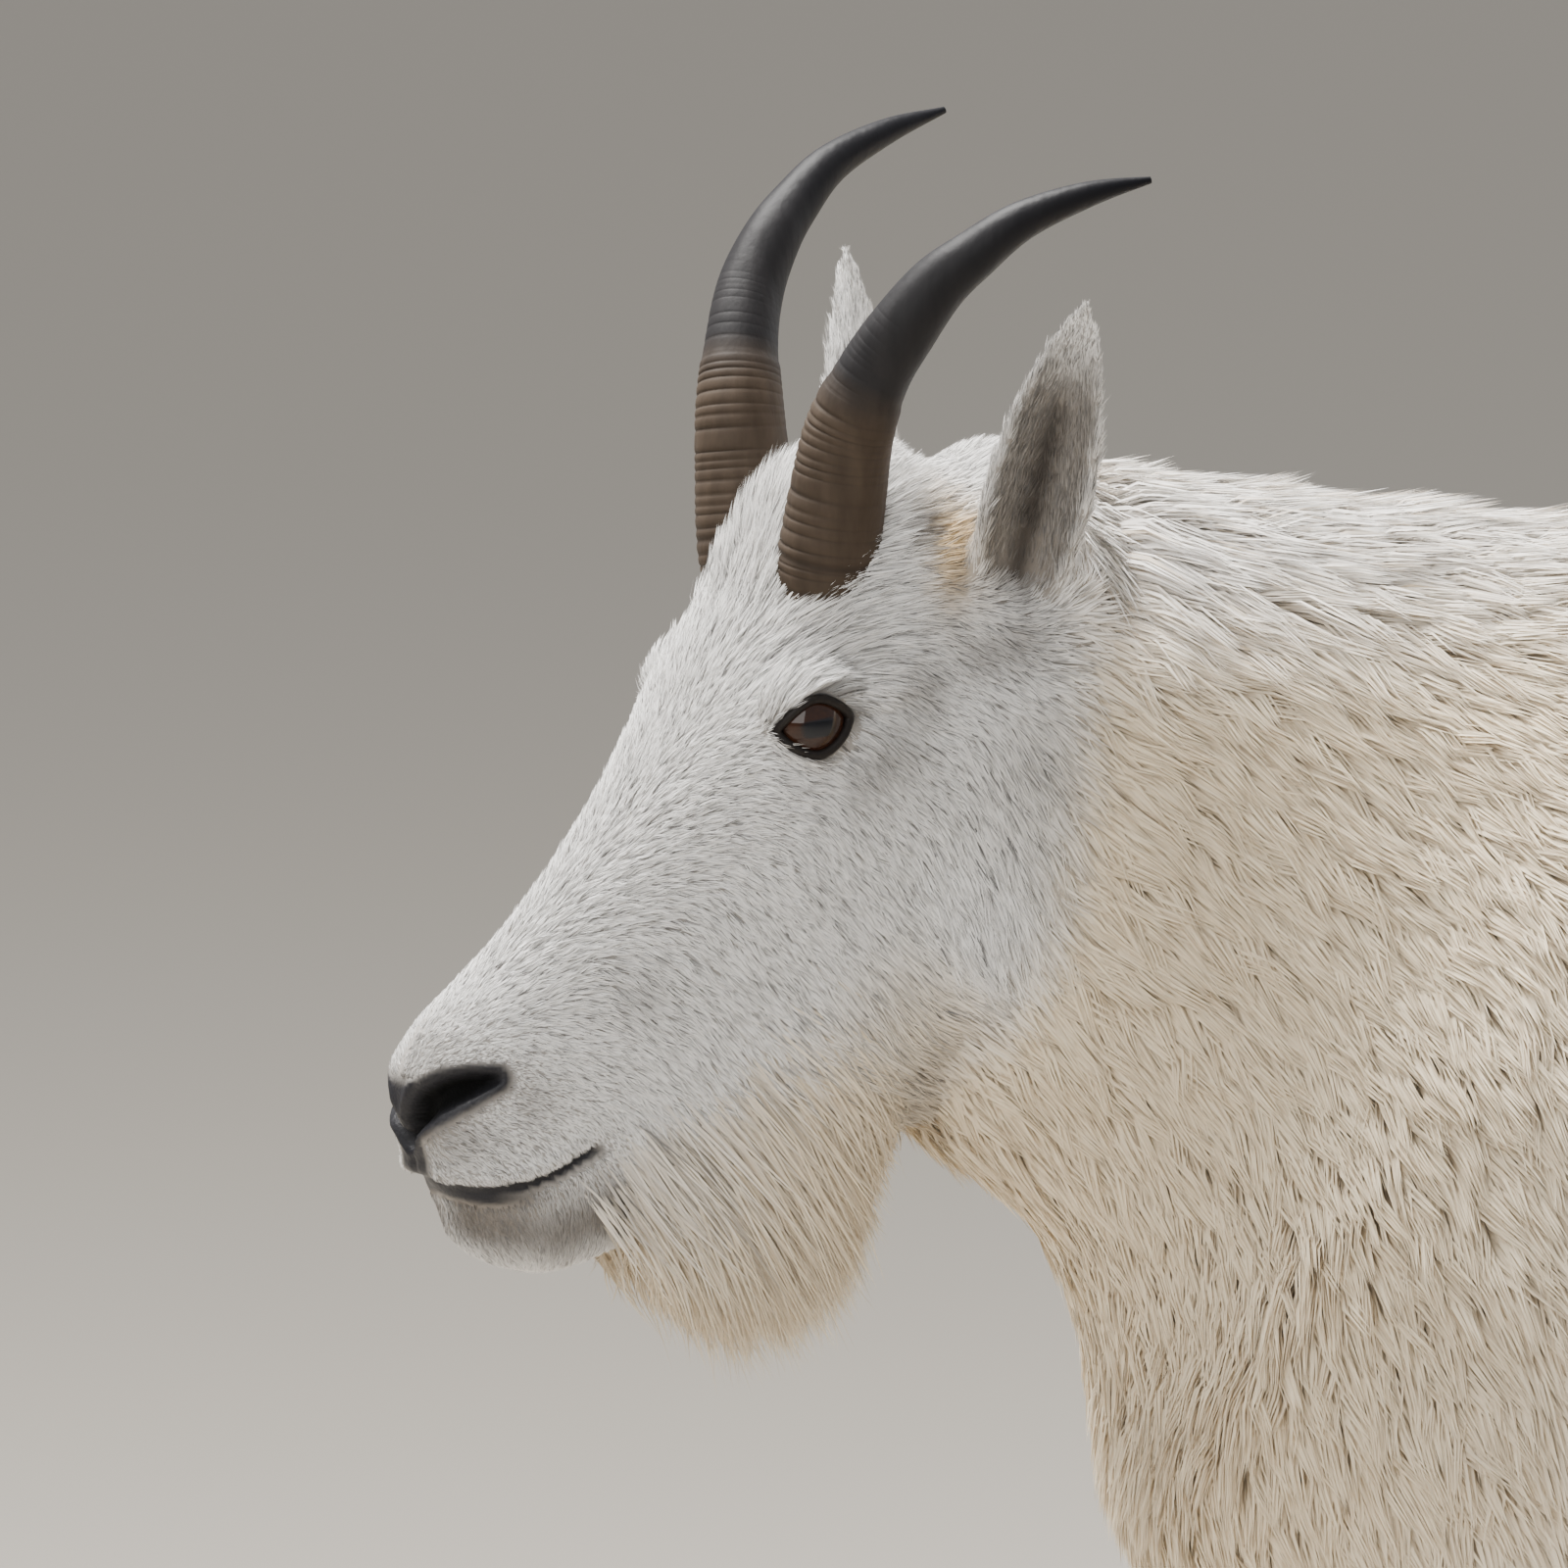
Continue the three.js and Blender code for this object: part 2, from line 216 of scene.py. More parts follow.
# %% [markdown]
# A shader is easier to read as a sum than as a web of nodes. This small class wraps a socket and adds a
# Math node for each operator, so that a mask can be written as 1 - wear * 0.5.


# %% Sums in a shader
class Value:
    """A number that changes over a surface: one output socket in a material."""

    def __init__(self, finish, socket):
        self.finish = finish
        self.socket = socket

    def math(self, operation, first, second):
        return self.finish.node("ShaderNodeMath", {"operation": operation}, {0: first, 1: second})

    def __add__(self, other):
        return self.math("ADD", self, other)

    def __sub__(self, other):
        return self.math("SUBTRACT", self, other)

    def __rsub__(self, other):
        return self.math("SUBTRACT", other, self)

    def __mul__(self, other):
        return self.math("MULTIPLY", self, other)

    def __truediv__(self, other):
        return self.math("DIVIDE", self, other)

    def __rtruediv__(self, other):
        return self.math("DIVIDE", other, self)

    def __pow__(self, other):
        return self.math("POWER", self, other)

    def __rpow__(self, other):
        return self.math("POWER", other, self)

    __radd__ = __add__
    __rmul__ = __mul__

    def clamp(self):
        return self.finish.node("ShaderNodeClamp", {}, {"Value": self})


# %% [markdown]
# A finish is one material with a Principled surface. Every other node comes from one method. Colours go
# through Mix nodes, because a Math node would turn them grey. Noise is laid out on the object itself, so
# it stays in place in every view.


# %% Finishes
class Finish:
    """A material under construction."""

    def __init__(self, name):
        self.material = bpy.data.materials.new(name)
        self.material.use_nodes = True
        self.tree = self.material.node_tree
        self.surface = self.tree.nodes["Principled BSDF"]

    def join(self, value, socket):
        if isinstance(value, Value):
            self.tree.links.new(value.socket, socket)
        else:
            socket.default_value = value

    def node(self, kind, settings, sockets, output=0):
        """Adds a node: its settings first, then a value or a link for each socket's name or number."""
        node = self.tree.nodes.new(kind)
        for setting, value in settings.items():
            setattr(node, setting, value)
        for socket, value in sockets.items():
            self.join(value, node.inputs[socket])
        return Value(self, node.outputs[output])

    def mask(self, name):
        return self.node("ShaderNodeAttribute", {"attribute_name": name}, {}, "Fac")

    def blend(self, share, first, second):
        return self.node("ShaderNodeMix", {"data_type": "RGBA"}, {0: share, 6: first, 7: second}, 2)

    def noise(self, scale, detail=3.0, stretch=(1, 1, 1)):
        place = self.node("ShaderNodeTexCoord", {}, {}, "Object")
        placed = self.node("ShaderNodeMapping", {}, {"Vector": place, "Scale": stretch})
        sockets = {"Vector": placed, "Scale": scale, "Detail": detail}
        return self.node("ShaderNodeTexNoise", {}, sockets)

    def bump(self, height, strength, distance):
        sockets = {"Strength": strength, "Distance": distance, "Height": height}
        return self.node("ShaderNodeBump", {}, sockets, "Normal")

    def finish(self, **sockets):
        for name, value in sockets.items():
            self.join(value, self.surface.inputs[name.replace("_", " ")])
        return self.material


def paint(red, green, blue):
    return (red, green, blue, 1.0)


# %% [markdown]
# A plain pale floor and soft studio light. A wide lamp overhead stands in for a bright sky on the nape,
# the bridge of the nose and the back. A weaker, wider one on the camera's side opens the shaded flank,
# and one behind keeps the far side readable.

# %% Floor and lights
FLOOR = [(-30, -30, 0), (30, -30, 0), (30, 30, 0), (-30, 30, 0)]
floor_mesh = bpy.data.meshes.new("floor")
floor_mesh.from_pydata(FLOOR, [], [(0, 1, 2, 3)])
floor = bpy.data.objects.new("floor", floor_mesh)
scene.collection.objects.link(floor)
floor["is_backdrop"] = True
floor_finish = Finish("floor")
floor_mesh.materials.append(floor_finish.finish(Base_Color=paint(0.50, 0.46, 0.40), Roughness=0.9))

world = bpy.data.worlds.new("studio")
world.use_nodes = True
backdrop = world.node_tree.nodes["Background"]
backdrop.inputs["Color"].default_value = paint(0.76, 0.765, 0.775)
backdrop.inputs["Strength"].default_value = 0.72
scene.world = world


def lamp(name, place, target, width, watts, colour):
    data = bpy.data.lights.new(name, "AREA")
    data.size = width
    data.energy = watts
    data.color = colour
    holder = bpy.data.objects.new(name, data)
    holder.location = place
    holder.rotation_euler = (Vector(target) - Vector(place)).to_track_quat("-Z", "Y").to_euler()
    scene.collection.objects.link(holder)


lamp("sky_lamp", (-1.2, 0.5, 3.0), (-0.35, 0, 0.8), 1.5, 290, (1.0, 0.98, 0.95))
lamp("near_lamp", (-1.6, -3.6, 1.9), (-0.3, 0, 0.7), 2.6, 84, (1.0, 0.985, 0.96))
lamp("far_lamp", (2.4, 2.6, 2.2), (0.1, 0, 0.6), 2.2, 60, (0.96, 0.98, 1.0))

# %% [markdown]
# Meshes of many thousands of points are quick to change only as whole arrays of numbers, so these
# helpers read and write them in one go.

# %% Reading and writing meshes


def link_mesh(name, mesh):
    item = bpy.data.objects.new(name, mesh)
    scene.collection.objects.link(item)
    return item


def read_rows(items, field, width, kind=float):
    """One row of numbers for each item of a mesh."""
    numbers = np.empty(len(items) * width, kind)
    items.foreach_get(field, numbers)
    return numbers.reshape(-1, width)


def read_points(mesh):
    return read_rows(mesh.vertices, "co", 3)


def read_normals(mesh):
    return read_rows(mesh.vertex_normals, "vector", 3)


def read_edges(mesh):
    return read_rows(mesh.edges, "vertices", 2, int)


def write_points(mesh, points):
    mesh.vertices.foreach_set("co", np.asarray(points, float).ravel())
    mesh.update()


def set_mask(mesh, name, values):
    layer = mesh.attributes.new(name, "FLOAT", "POINT")
    layer.data.foreach_set("value", np.asarray(values, np.float32))


print("floor points", len(read_points(floor_mesh)))

# %% [markdown]
# Under the coat the goat is one skin. The solids of its flesh and the eyeballs are joined and remeshed
# into one surface. They are first swelled a little, so that solids that only touch are welded too. The
# head needs a finer mesh than the flank, so before the remesh the space around the face is stretched,
# and afterwards it is let back, which leaves small faces there.

# %% Skin: one surface from the solids
FLESH = ("head", "neck", "trunk", "leg", "ear", "tail", "eye")
SWELL = 0.0006
VOXEL = 0.0097
STRETCH_FROM = [0.0, 0.25, 3.0]
STRETCH_TO = [0.0, 0.66, 3.41]
stretch_centre = from_head([35, 0, -30])


def restretch(points, before, after):
    offset = points - stretch_centre
    distance = np.linalg.norm(offset, axis=1)
    return stretch_centre + offset * (np.interp(distance, before, after) / distance)[:, None]


body = bmesh.new()
for node_name, node in frame["nodes"].items():
    if node_name.split("_")[0] in FLESH:
        body.from_mesh(node.data)
bmesh.ops.remove_doubles(body, verts=body.verts, dist=1e-6)
body.normal_update()
for vertex in body.verts:
    vertex.co += vertex.normal * SWELL
rough = bpy.data.meshes.new("rough")
body.to_mesh(rough)
body.free()
write_points(rough, restretch(read_points(rough), STRETCH_FROM, STRETCH_TO))
rough_item = link_mesh("rough", rough)
remesh = rough_item.modifiers.new("remesh", "REMESH")
remesh.mode = "VOXEL"
remesh.voxel_size = VOXEL
remeshed = rough_item.evaluated_get(bpy.context.evaluated_depsgraph_get())
skin_mesh = bpy.data.meshes.new_from_object(remeshed)
bpy.data.objects.remove(rough_item)
write_points(skin_mesh, restretch(read_points(skin_mesh), STRETCH_TO, STRETCH_FROM))
print("skin faces", len(skin_mesh.polygons))

# %% [markdown]
# Places on the goat are told apart by simple rules in the two frames. Each rule gives a share from 0 to 1
# that fades over a few centimetres, so no change of coat or colour has a hard edge. The ruff is the line
# behind the jaw where the short hair of the face meets the wool of the neck.

# %% Regions
EAR_ROOT = np.array([-73.0, 54.0, -39.0])
EAR_TIP = np.array([-169.0, 95.0, 27.0])
EAR_FACING = np.array([0.57, 0.799, 0.188])
ear_axis = unit(EAR_TIP - EAR_ROOT)
ear_facing = unit(EAR_FACING - ear_axis * (EAR_FACING @ ear_axis))
ear_across = np.cross(ear_axis, ear_facing)
EAR_STATIONS = [-14, 4, 28, 52, 78, 104, 121, 127]
EAR_HALF_WIDTHS = [12, 15, 20, 21, 18, 12, 6, 3]
RUFF_X = [-160, -120, -82, -34, 11, 70, 92, 120]
RUFF_DEPTH = [20, 38, 54, 84, 111, 122, 150, 180]
FLANK_X = 640


class Places:
    """Where each point lies on the goat."""

    def __init__(self, points):
        self.head_point = to_head(points)
        self.body_point = to_body(points)
        hx, hy, hz = self.head_point.T
        bx, by, bz = self.body_point.T
        self.mirrored = np.stack([hx, np.abs(hy), hz], axis=1)
        self.body_mirrored = np.stack([bx, np.abs(by), bz], axis=1)
        from_ear = self.mirrored - EAR_ROOT
        self.ear_along = from_ear @ ear_axis
        ear_off = np.linalg.norm(from_ear - self.ear_along[:, None] * ear_axis, axis=1)
        self.ear = rise(self.ear_along, 4, 18) * rise(ear_off, 31, 25)
        ear_half = np.interp(self.ear_along, EAR_STATIONS, EAR_HALF_WIDTHS)
        self.ear_side = (from_ear @ ear_across) / ear_half
        behind = -hz - np.interp(hx, RUFF_X, RUFF_DEPTH)
        self.head = rise(behind, 14, -14) * rise(bz, 560, 585) * rise(bx, 170, 120)
        self.neck = (1 - self.head) * rise(bx + (bz - 640) * -0.40, 420, 210) * rise(bz, 420, 470)
        fore = rise(bz, 455, 375) * (bx < FLANK_X)
        hind = rise(bz - (bx - 820) * 0.42, 495, 410) * (bx >= FLANK_X)
        self.leg = np.maximum(fore, hind)
        self.foot = rise(bz, 120, 85)
        self.tail = rise(bx, 1086, 1098) * (np.abs(by) < 34) * rise(bz, 655, 670) * rise(bz, 812, 800)
        self.muzzle = self.head * rise(hx, 120, 165)
        self.crown = self.head * rise(hx, 10, -25) * rise(hz, -25, 10)
        self.cheek = self.head * rise(hx, 60, 0) * rise(hz, -45, -75)
        self.throat = self.head * rise(hz, -95, -125)
        self.nape = self.neck * rise(bz, 790, 850)
        self.jaw = self.head * rise(hz, -58, -92) * rise(hx, 20, 55) * rise(hx, 186, 168)

    def keep(self, wanted):
        """Forgets all points but the wanted ones."""
        for field, values in list(vars(self).items()):
            setattr(self, field, values[wanted])


skin_points = read_points(skin_mesh)
at_skin = Places(skin_points)
print("points of the head", int((at_skin.head > 0.5).sum()), "of", len(skin_points))

# %% [markdown]
# The skin lies inside the solids by the depth of the coat: a few millimetres on the face and feet, about
# fifteen on the neck and more along the back, where the mane stands.

# %% Coat depth
DEPTH_HEIGHTS = [60, 180, 260, 340, 420]


def coat_depth(at):
    """Depth of the coat in millimetres."""
    bz = at.body_point[:, 2]
    depth = 20 + 6 * rise(bz, 800, 880)
    depth = mix(depth, 13 + 4 * rise(bz, 790, 850), at.neck)
    depth = mix(depth, np.interp(bz, DEPTH_HEIGHTS, [3.2, 4.5, 7, 12, 17]), at.leg)
    face = 3.0 + 6.0 * at.crown + 3 * at.cheek + 3 * at.throat - 1.8 * at.muzzle
    depth = mix(depth, face, at.head)
    depth = mix(depth, 1.0, at.ear)
    return mix(depth, 8.0, at.tail)


depths = coat_depth(at_skin)
print("skin inside by", depths.min().round(1), "to", depths.max().round(1), "mm")

# %% [markdown]
# The remeshed skin still shows the joints of the solids. Drawing each point toward the middle of its
# neighbours evens them out. The corners below the chest and in front of the thigh take many more rounds.
# Then the skin sinks along its normals by the depth of the coat.

# %% Smooth the skin and sink it under the coat
BODY_CORNERS = [((130, 30, 415), (110, 130, 80)), ((820, 120, 440), (90, 90, 70))]
FIRST_ROUNDS = 14
CORNER_ROUNDS = 220
LAST_ROUNDS = 6


def smoothed(points, edges, rounds, share):
    """Points drawn a share of the way to the middle of their neighbours, over and over."""
    first, second = edges.T
    count = np.bincount(edges.ravel(), minlength=len(points))[:, None]
    for _ in range(rounds):
        total = np.empty_like(points)
        for axis in range(3):
            total[:, axis] = np.bincount(first, points[second, axis], len(points))
            total[:, axis] += np.bincount(second, points[first, axis], len(points))
        points = points + share[:, None] * (total / count - points)
    return points


skin_edges = read_edges(skin_mesh)
softness = 0.55 * (1 - 0.55 * at_skin.ear)
skin_points = smoothed(skin_points, skin_edges, FIRST_ROUNDS, softness)
in_corner = sum(near(at_skin.body_mirrored, centre, size) for centre, size in BODY_CORNERS)
corner_share = 0.6 * np.clip(in_corner * 1.4, 0, 1)
skin_points = smoothed(skin_points, skin_edges, CORNER_ROUNDS, corner_share)
write_points(skin_mesh, skin_points)
skin_points = skin_points - read_normals(skin_mesh) * coat_depth(Places(skin_points))[:, None] / MM
last_share = 0.5 * (1 - at_skin.ear) * (1 - 0.5 * at_skin.head)
write_points(skin_mesh, smoothed(skin_points, skin_edges, LAST_ROUNDS, last_share))
print("smoothed points", len(skin_points))

# %% [markdown]
# The lips, nostrils and eyelids need a mesh finer than three millimetres, so only the faces around them
# and on the ears are cut in four.

# %% Finer faces at the nose, mouth, eyes and ears
EYE_CENTRE = np.array([0.0, 42.6, 0.0])
EYE_RADIUS = 16.5
FINE_FROM_X = 152
FINE_ROUND_EYE = 34


def refine(mesh):
    body = bmesh.new()
    body.from_mesh(mesh)
    spots = Places(read_points(mesh))
    near_nose = (spots.head_point[:, 0] > FINE_FROM_X) & (spots.head > 0.5)
    near_eye = np.linalg.norm(spots.mirrored - EYE_CENTRE, axis=1) < FINE_ROUND_EYE
    wanted = near_nose | near_eye | (spots.ear > 0.3)
    edges = [edge for edge in body.edges if all(wanted[vertex.index] for vertex in edge.verts)]
    bmesh.ops.subdivide_edges(body, edges=edges, cuts=1, use_grid_fill=True, smooth=0.4)
    body.to_mesh(mesh)
    body.free()
    mesh.update()


refine(skin_mesh)
print("skin faces", len(skin_mesh.polygons))

# %% [markdown]
# The nostril, the mouth and the spots of colour were placed at columns and rows of the camera's picture.
# A ray through each of them meets the skin at the place that the camera sees there. Where a ray misses
# the goat, the nearest place on the skin is taken.

# %% Places on the skin, as the camera sees them
RAY_START = 2
NOSTRIL_SEEN = [(508, 1099), (484, 1105), (458, 1114), (434, 1127), (421, 1147), (421, 1168)]
NOSTRIL_RADIUS = np.array([1.4, 3.8, 5.2, 5.4, 3.2, 1.5])
MOUTH_SEEN = [(442, 1206), (468, 1212), (504, 1214), (540, 1208), (572, 1196), (600, 1178), (622, 1164)]
skin_corners = [tuple(point) for point in read_points(skin_mesh)]
under_skin = BVHTree.FromPolygons(skin_corners, [tuple(face.vertices) for face in skin_mesh.polygons])


def seen_at(column, row):
    """The place on the skin, in the head's frame, at a column and a row of the picture."""
    start = aim - camera_ahead * RAY_START + camera_right * (column - middle) * pixel
    start = start - camera_up * (row - middle) * pixel
    place, _, _, _ = under_skin.ray_cast(Vector(start), Vector(camera_ahead))
    if place is None:
        place, _, _, _ = under_skin.find_nearest(Vector(start + camera_ahead * RAY_START))
    return to_head(np.array(place))


def seen_on_left(column, row):
    """The same place, taken to the left half of the head."""
    place = seen_at(column, row)
    place[1] = abs(place[1])
    return place


NOSTRIL = np.array([seen_on_left(*spot) for spot in NOSTRIL_SEEN])
MOUTH = np.array([seen_at(*spot) for spot in MOUTH_SEEN])
MOUTH = np.concatenate([MOUTH[:1] * [1, 0, 1] + [2.0, 0, 1.5], MOUTH])
WHISKER_BED = np.abs(seen_at(500, 1165)) * [1, 1, -1]
WHISKER_END = np.abs(seen_at(545, 1132)) * [1, 1, -1]
print("nostril from", NOSTRIL[0].round(), "to", NOSTRIL[-1].round(), "mouth to", MOUTH[-1].round())

# %% [markdown]
# A goat's white face is not one white. Grey and dark patches of painted shade and tawny stains are set as
# soft round spots, and they colour both halves of the head.

# %% Spots of colour on the head
SPOTS = [
    # column, row, size, grey painted shade, tawny stain, dark painted shade
    (950, 548, 13, 0.0, 0.95, 0.0), (942, 594, 13, 0.0, 0.65, 0.0), (906, 548, 7, 0.3, 0.0, 0.8),
    (905, 760, 13, 0.40, 0.0, 0.0), (865, 792, 12, 0.34, 0.0, 0.0), (930, 700, 10, 0.55, 0.0, 0.0),
    (985, 668, 10, 0.50, 0.0, 0.0), (1030, 650, 11, 0.55, 0.0, 0.0), (840, 682, 12, 0.28, 0.0, 0.0),
    (1050, 760, 16, 0.30, 0.0, 0.0), (1010, 820, 22, 0.16, 0.0, 0.0), (640, 1010, 12, 0.26, 0.0, 0.0),
    (540, 1120, 9, 0.30, 0.0, 0.0), (450, 1160, 9, 0.45, 0.0, 0.0), (480, 1150, 9, 0.3, 0.0, 0.0),
    (470, 1238, 11, 0.80, 0.0, 0.2), (520, 1245, 13, 0.80, 0.0, 0.1), (575, 1245, 13, 0.70, 0.0, 0.1),
    (620, 1225, 12, 0.70, 0.0, 0.2), (645, 1225, 10, 0.70, 0.0, 0.2),
    (440, 1075, 9, 0.40, 0.0, 0.0), (960, 1150, 22, 0.35, 0.1, 0.0),
]
SPOT_PLACES = [seen_on_left(column, row) for column, row, *_ in SPOTS]
print("spots", len(SPOTS))

# %% [markdown]
# Two measures guide the carving. One is how far round the eyeball a point is, as a share of the almond
# between the lids. The other is the distance to a path such as the line of the mouth.

# %% Measures for carving
LID_HALF_LONG, LID_HALF_HIGH = 0.93, 0.63
LID_POINT = 0.25
JAW_DOWN = np.array([0.78, 0.0, -0.64])
eye_out = unit(np.array([0.10, 0.99, -0.03]))
eye_long = np.array([0.73, 0.0, 0.68])
eye_long = unit(eye_long - eye_out * (eye_long @ eye_out))
eye_high = np.cross(eye_long, eye_out)


def lid_measure(local):
    """How far round the eyeball a point is from the middle of the opening, 1 at the lids' edge."""
    spread = unit(local - EYE_CENTRE)
    out = np.maximum(spread @ eye_out, 1e-3)
    along = np.arctan2(spread @ eye_long, out) / LID_HALF_LONG
    high = np.arctan2(spread @ eye_high, out) / LID_HALF_HIGH
    pointed = high * (1 + LID_POINT * along**2)
    return np.sqrt(along**2 + pointed**2), high


def to_path(points, path):
    """Distance to a path, how far along it the nearest place is from 0 to 1, and how far below it."""
    best = np.full(len(points), 1e9)
    share = np.zeros(len(points))
    below = np.zeros(len(points))
    steps = len(path) - 1
    for index in range(steps):
        start = path[index]
        run = path[index + 1] - start
        t = np.clip((points - start) @ run / (run @ run), 0, 1)
        away = points - start - t[:, None] * run
        distance = np.linalg.norm(away, axis=1)
        nearer = distance < best
        below = np.where(nearer, away @ JAW_DOWN, below)
        best = np.where(nearer, distance, best)
        share = np.where(nearer, (index + t) / steps, share)
    return best, share, below


def to_nostril(here):
    """Distance to the nostril's slit, and its half width at the nearest place."""
    reach, share, _ = to_path(here, NOSTRIL)
    return reach, np.interp(share, np.linspace(0, 1, len(NOSTRIL)), NOSTRIL_RADIUS)


mouth_length = np.linalg.norm(np.diff(MOUTH, axis=0), axis=1).sum()
print("mouth line", mouth_length.round(), "mm long")

# %% [markdown]
# The face is carved by rules, as a sculptor would press a wet clay head: a nostril like a comma with a
# raised wing, the groove of the closed mouth with a full upper lip, and the cleft between the nostrils.
# The lids wrap the eyeball, so points near it are moved toward or away from its centre, and the brow
# stands above them. Skin outside the opening never sinks into the ball.

# %% Carving rules


def press_nose(here, push):
    reach, radius = to_nostril(here)
    hole = rise(reach, radius * 1.2, radius * 0.55)
    wing = ridge(reach - radius * 1.7, 2.2)
    return here + push * (10.0 * hole - 1.4 * wing)[:, None]


def press_mouth(here, push):
    reach, share, below = to_path(here, MOUTH)
    groove = ridge(reach, 1.9) * rise(share, 1.0, 0.88)
    upper_lip = ridge(below + 5.5, 3.2) * rise(reach, 14, 6) * rise(share, 1.0, 0.6)
    under_lip = rise(below, 0, 3) * rise(below, 30, 8) * rise(reach, 30, 10) * rise(share, 0.9, 0.4)
    here = here + push * (4.0 * groove - 1.6 * upper_lip + 3.2 * under_lip)[:, None]
    hx, hy, hz = here.T
    cleft = ridge(hy, 1.6) * rise(hx, 190, 202) * rise(hz, -9, -2) * rise(hz, 22, 14)
    return here + push * (2.0 * cleft)[:, None]


def wrap_eye(here):
    offset = here - EYE_CENTRE
    distance = np.linalg.norm(offset, axis=1)
    measure, high = lid_measure(here)
    facing = (offset @ eye_out > 0) & (distance < 40)
    brow = 1.4 * ridge(measure - 1.75, 0.45) * np.where(high > 0, 1.0, 0.4) * rise(distance, 34, 24)
    wall = EYE_RADIUS + 1.6 + 1.0 * ridge(measure - 1.12, 0.14) - 4.6 * rise(measure, 1.06, 0.92)
    level = mix(distance + brow, wall, rise(measure, 1.95, 1.25))
    covered = np.maximum(level, EYE_RADIUS + 1.3)
    level = mix(level, covered, rise(measure, 1.0, 1.15))
    level = np.where(facing, level, distance)
    return EYE_CENTRE + offset * (level / np.maximum(distance, 1e-6))[:, None]


def carve(points, normals):
    local = to_head(points)
    side = side_of(local)
    here = flipped(local, side)
    push = flipped(-(normals @ head_axes.T), side)
    here = press_mouth(press_nose(here, push), push)
    return from_head(flipped(wrap_eye(here), side))


print("opening of the lids in radians", 2 * LID_HALF_LONG, "by", 2 * LID_HALF_HIGH)

# %% [markdown]
# An ear is a leaf with a shallow hollow down its front. The solids give only a flat blade, so the front
# of the blade is pushed in along its middle. Then the rest of the head is carved.

# %% Hollow the ears and carve the face
EAR_HOLLOW = 3.2
at_ear = Places(read_points(skin_mesh))
ear_half = side_of(at_ear.head_point)
facing_front = flipped(read_normals(skin_mesh) @ head_axes.T, ear_half) @ ear_facing
ear_cup = rise(facing_front, 0.1, 0.6) * at_ear.ear * rise(at_ear.ear_along, 112, 60)
ear_cup = ear_cup * ridge(at_ear.ear_side, 0.55)
inward_ear = flipped(ear_facing, ear_half) * -EAR_HOLLOW * ear_cup[:, None]
write_points(skin_mesh, read_points(skin_mesh) + inward_ear @ head_axes / MM)

before_carving = read_points(skin_mesh)
near_face = Places(before_carving).head > 0.3
carved = before_carving.copy()
carved[near_face] = carve(carved[near_face], read_normals(skin_mesh)[near_face])
write_points(skin_mesh, carved)
at_skin = Places(carved)
fine_share = 0.35 * at_skin.head * (1 - at_skin.ear)
write_points(skin_mesh, smoothed(carved, read_edges(skin_mesh), 2, fine_share))
print("carved", int(near_face.sum()), "points of the face")

# %% [markdown]
# The skin is unwrapped once. Every tuft later takes the place of its root on this map, so skin and coat
# share one map.

# %% Unwrap the skin
skin = link_mesh("skin", skin_mesh)
skin_mesh.shade_smooth()
for layer in list(skin_mesh.uv_layers):
    skin_mesh.uv_layers.remove(layer)
skin_mesh.uv_layers.new(name="OFBake")
for item in scene.objects:
    item.select_set(item == skin)
bpy.context.view_layer.objects.active = skin
bpy.ops.object.mode_set(mode="EDIT")
bpy.ops.mesh.select_all(action="SELECT")
bpy.ops.uv.smart_project(angle_limit=1.15, island_margin=0.001)
bpy.ops.object.mode_set(mode="OBJECT")
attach(skin, "root")
fleshy = [name for name in frame["nodes"] if name.split("_")[0] in FLESH and not name.startswith("eye")]
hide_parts(*fleshy)
print("unwrapped", len(skin_mesh.loops), "corners")

# %% [markdown]
# The markings are shares that fade from one place to the next: how creamy, grey, tawny or bare each spot
# is. On the head and in the ears most of the grey and the dark is painted shade. The same rules run on the
# skin and on the root of every tuft.

# %% Markings


def inside_of_ear(at, normals):
    """A share that is 1 where the surface faces the way the ear's hollow does."""
    local = flipped(normals @ head_axes.T, side_of(at.head_point))
    return rise(local @ ear_facing, 0.0, 0.5)


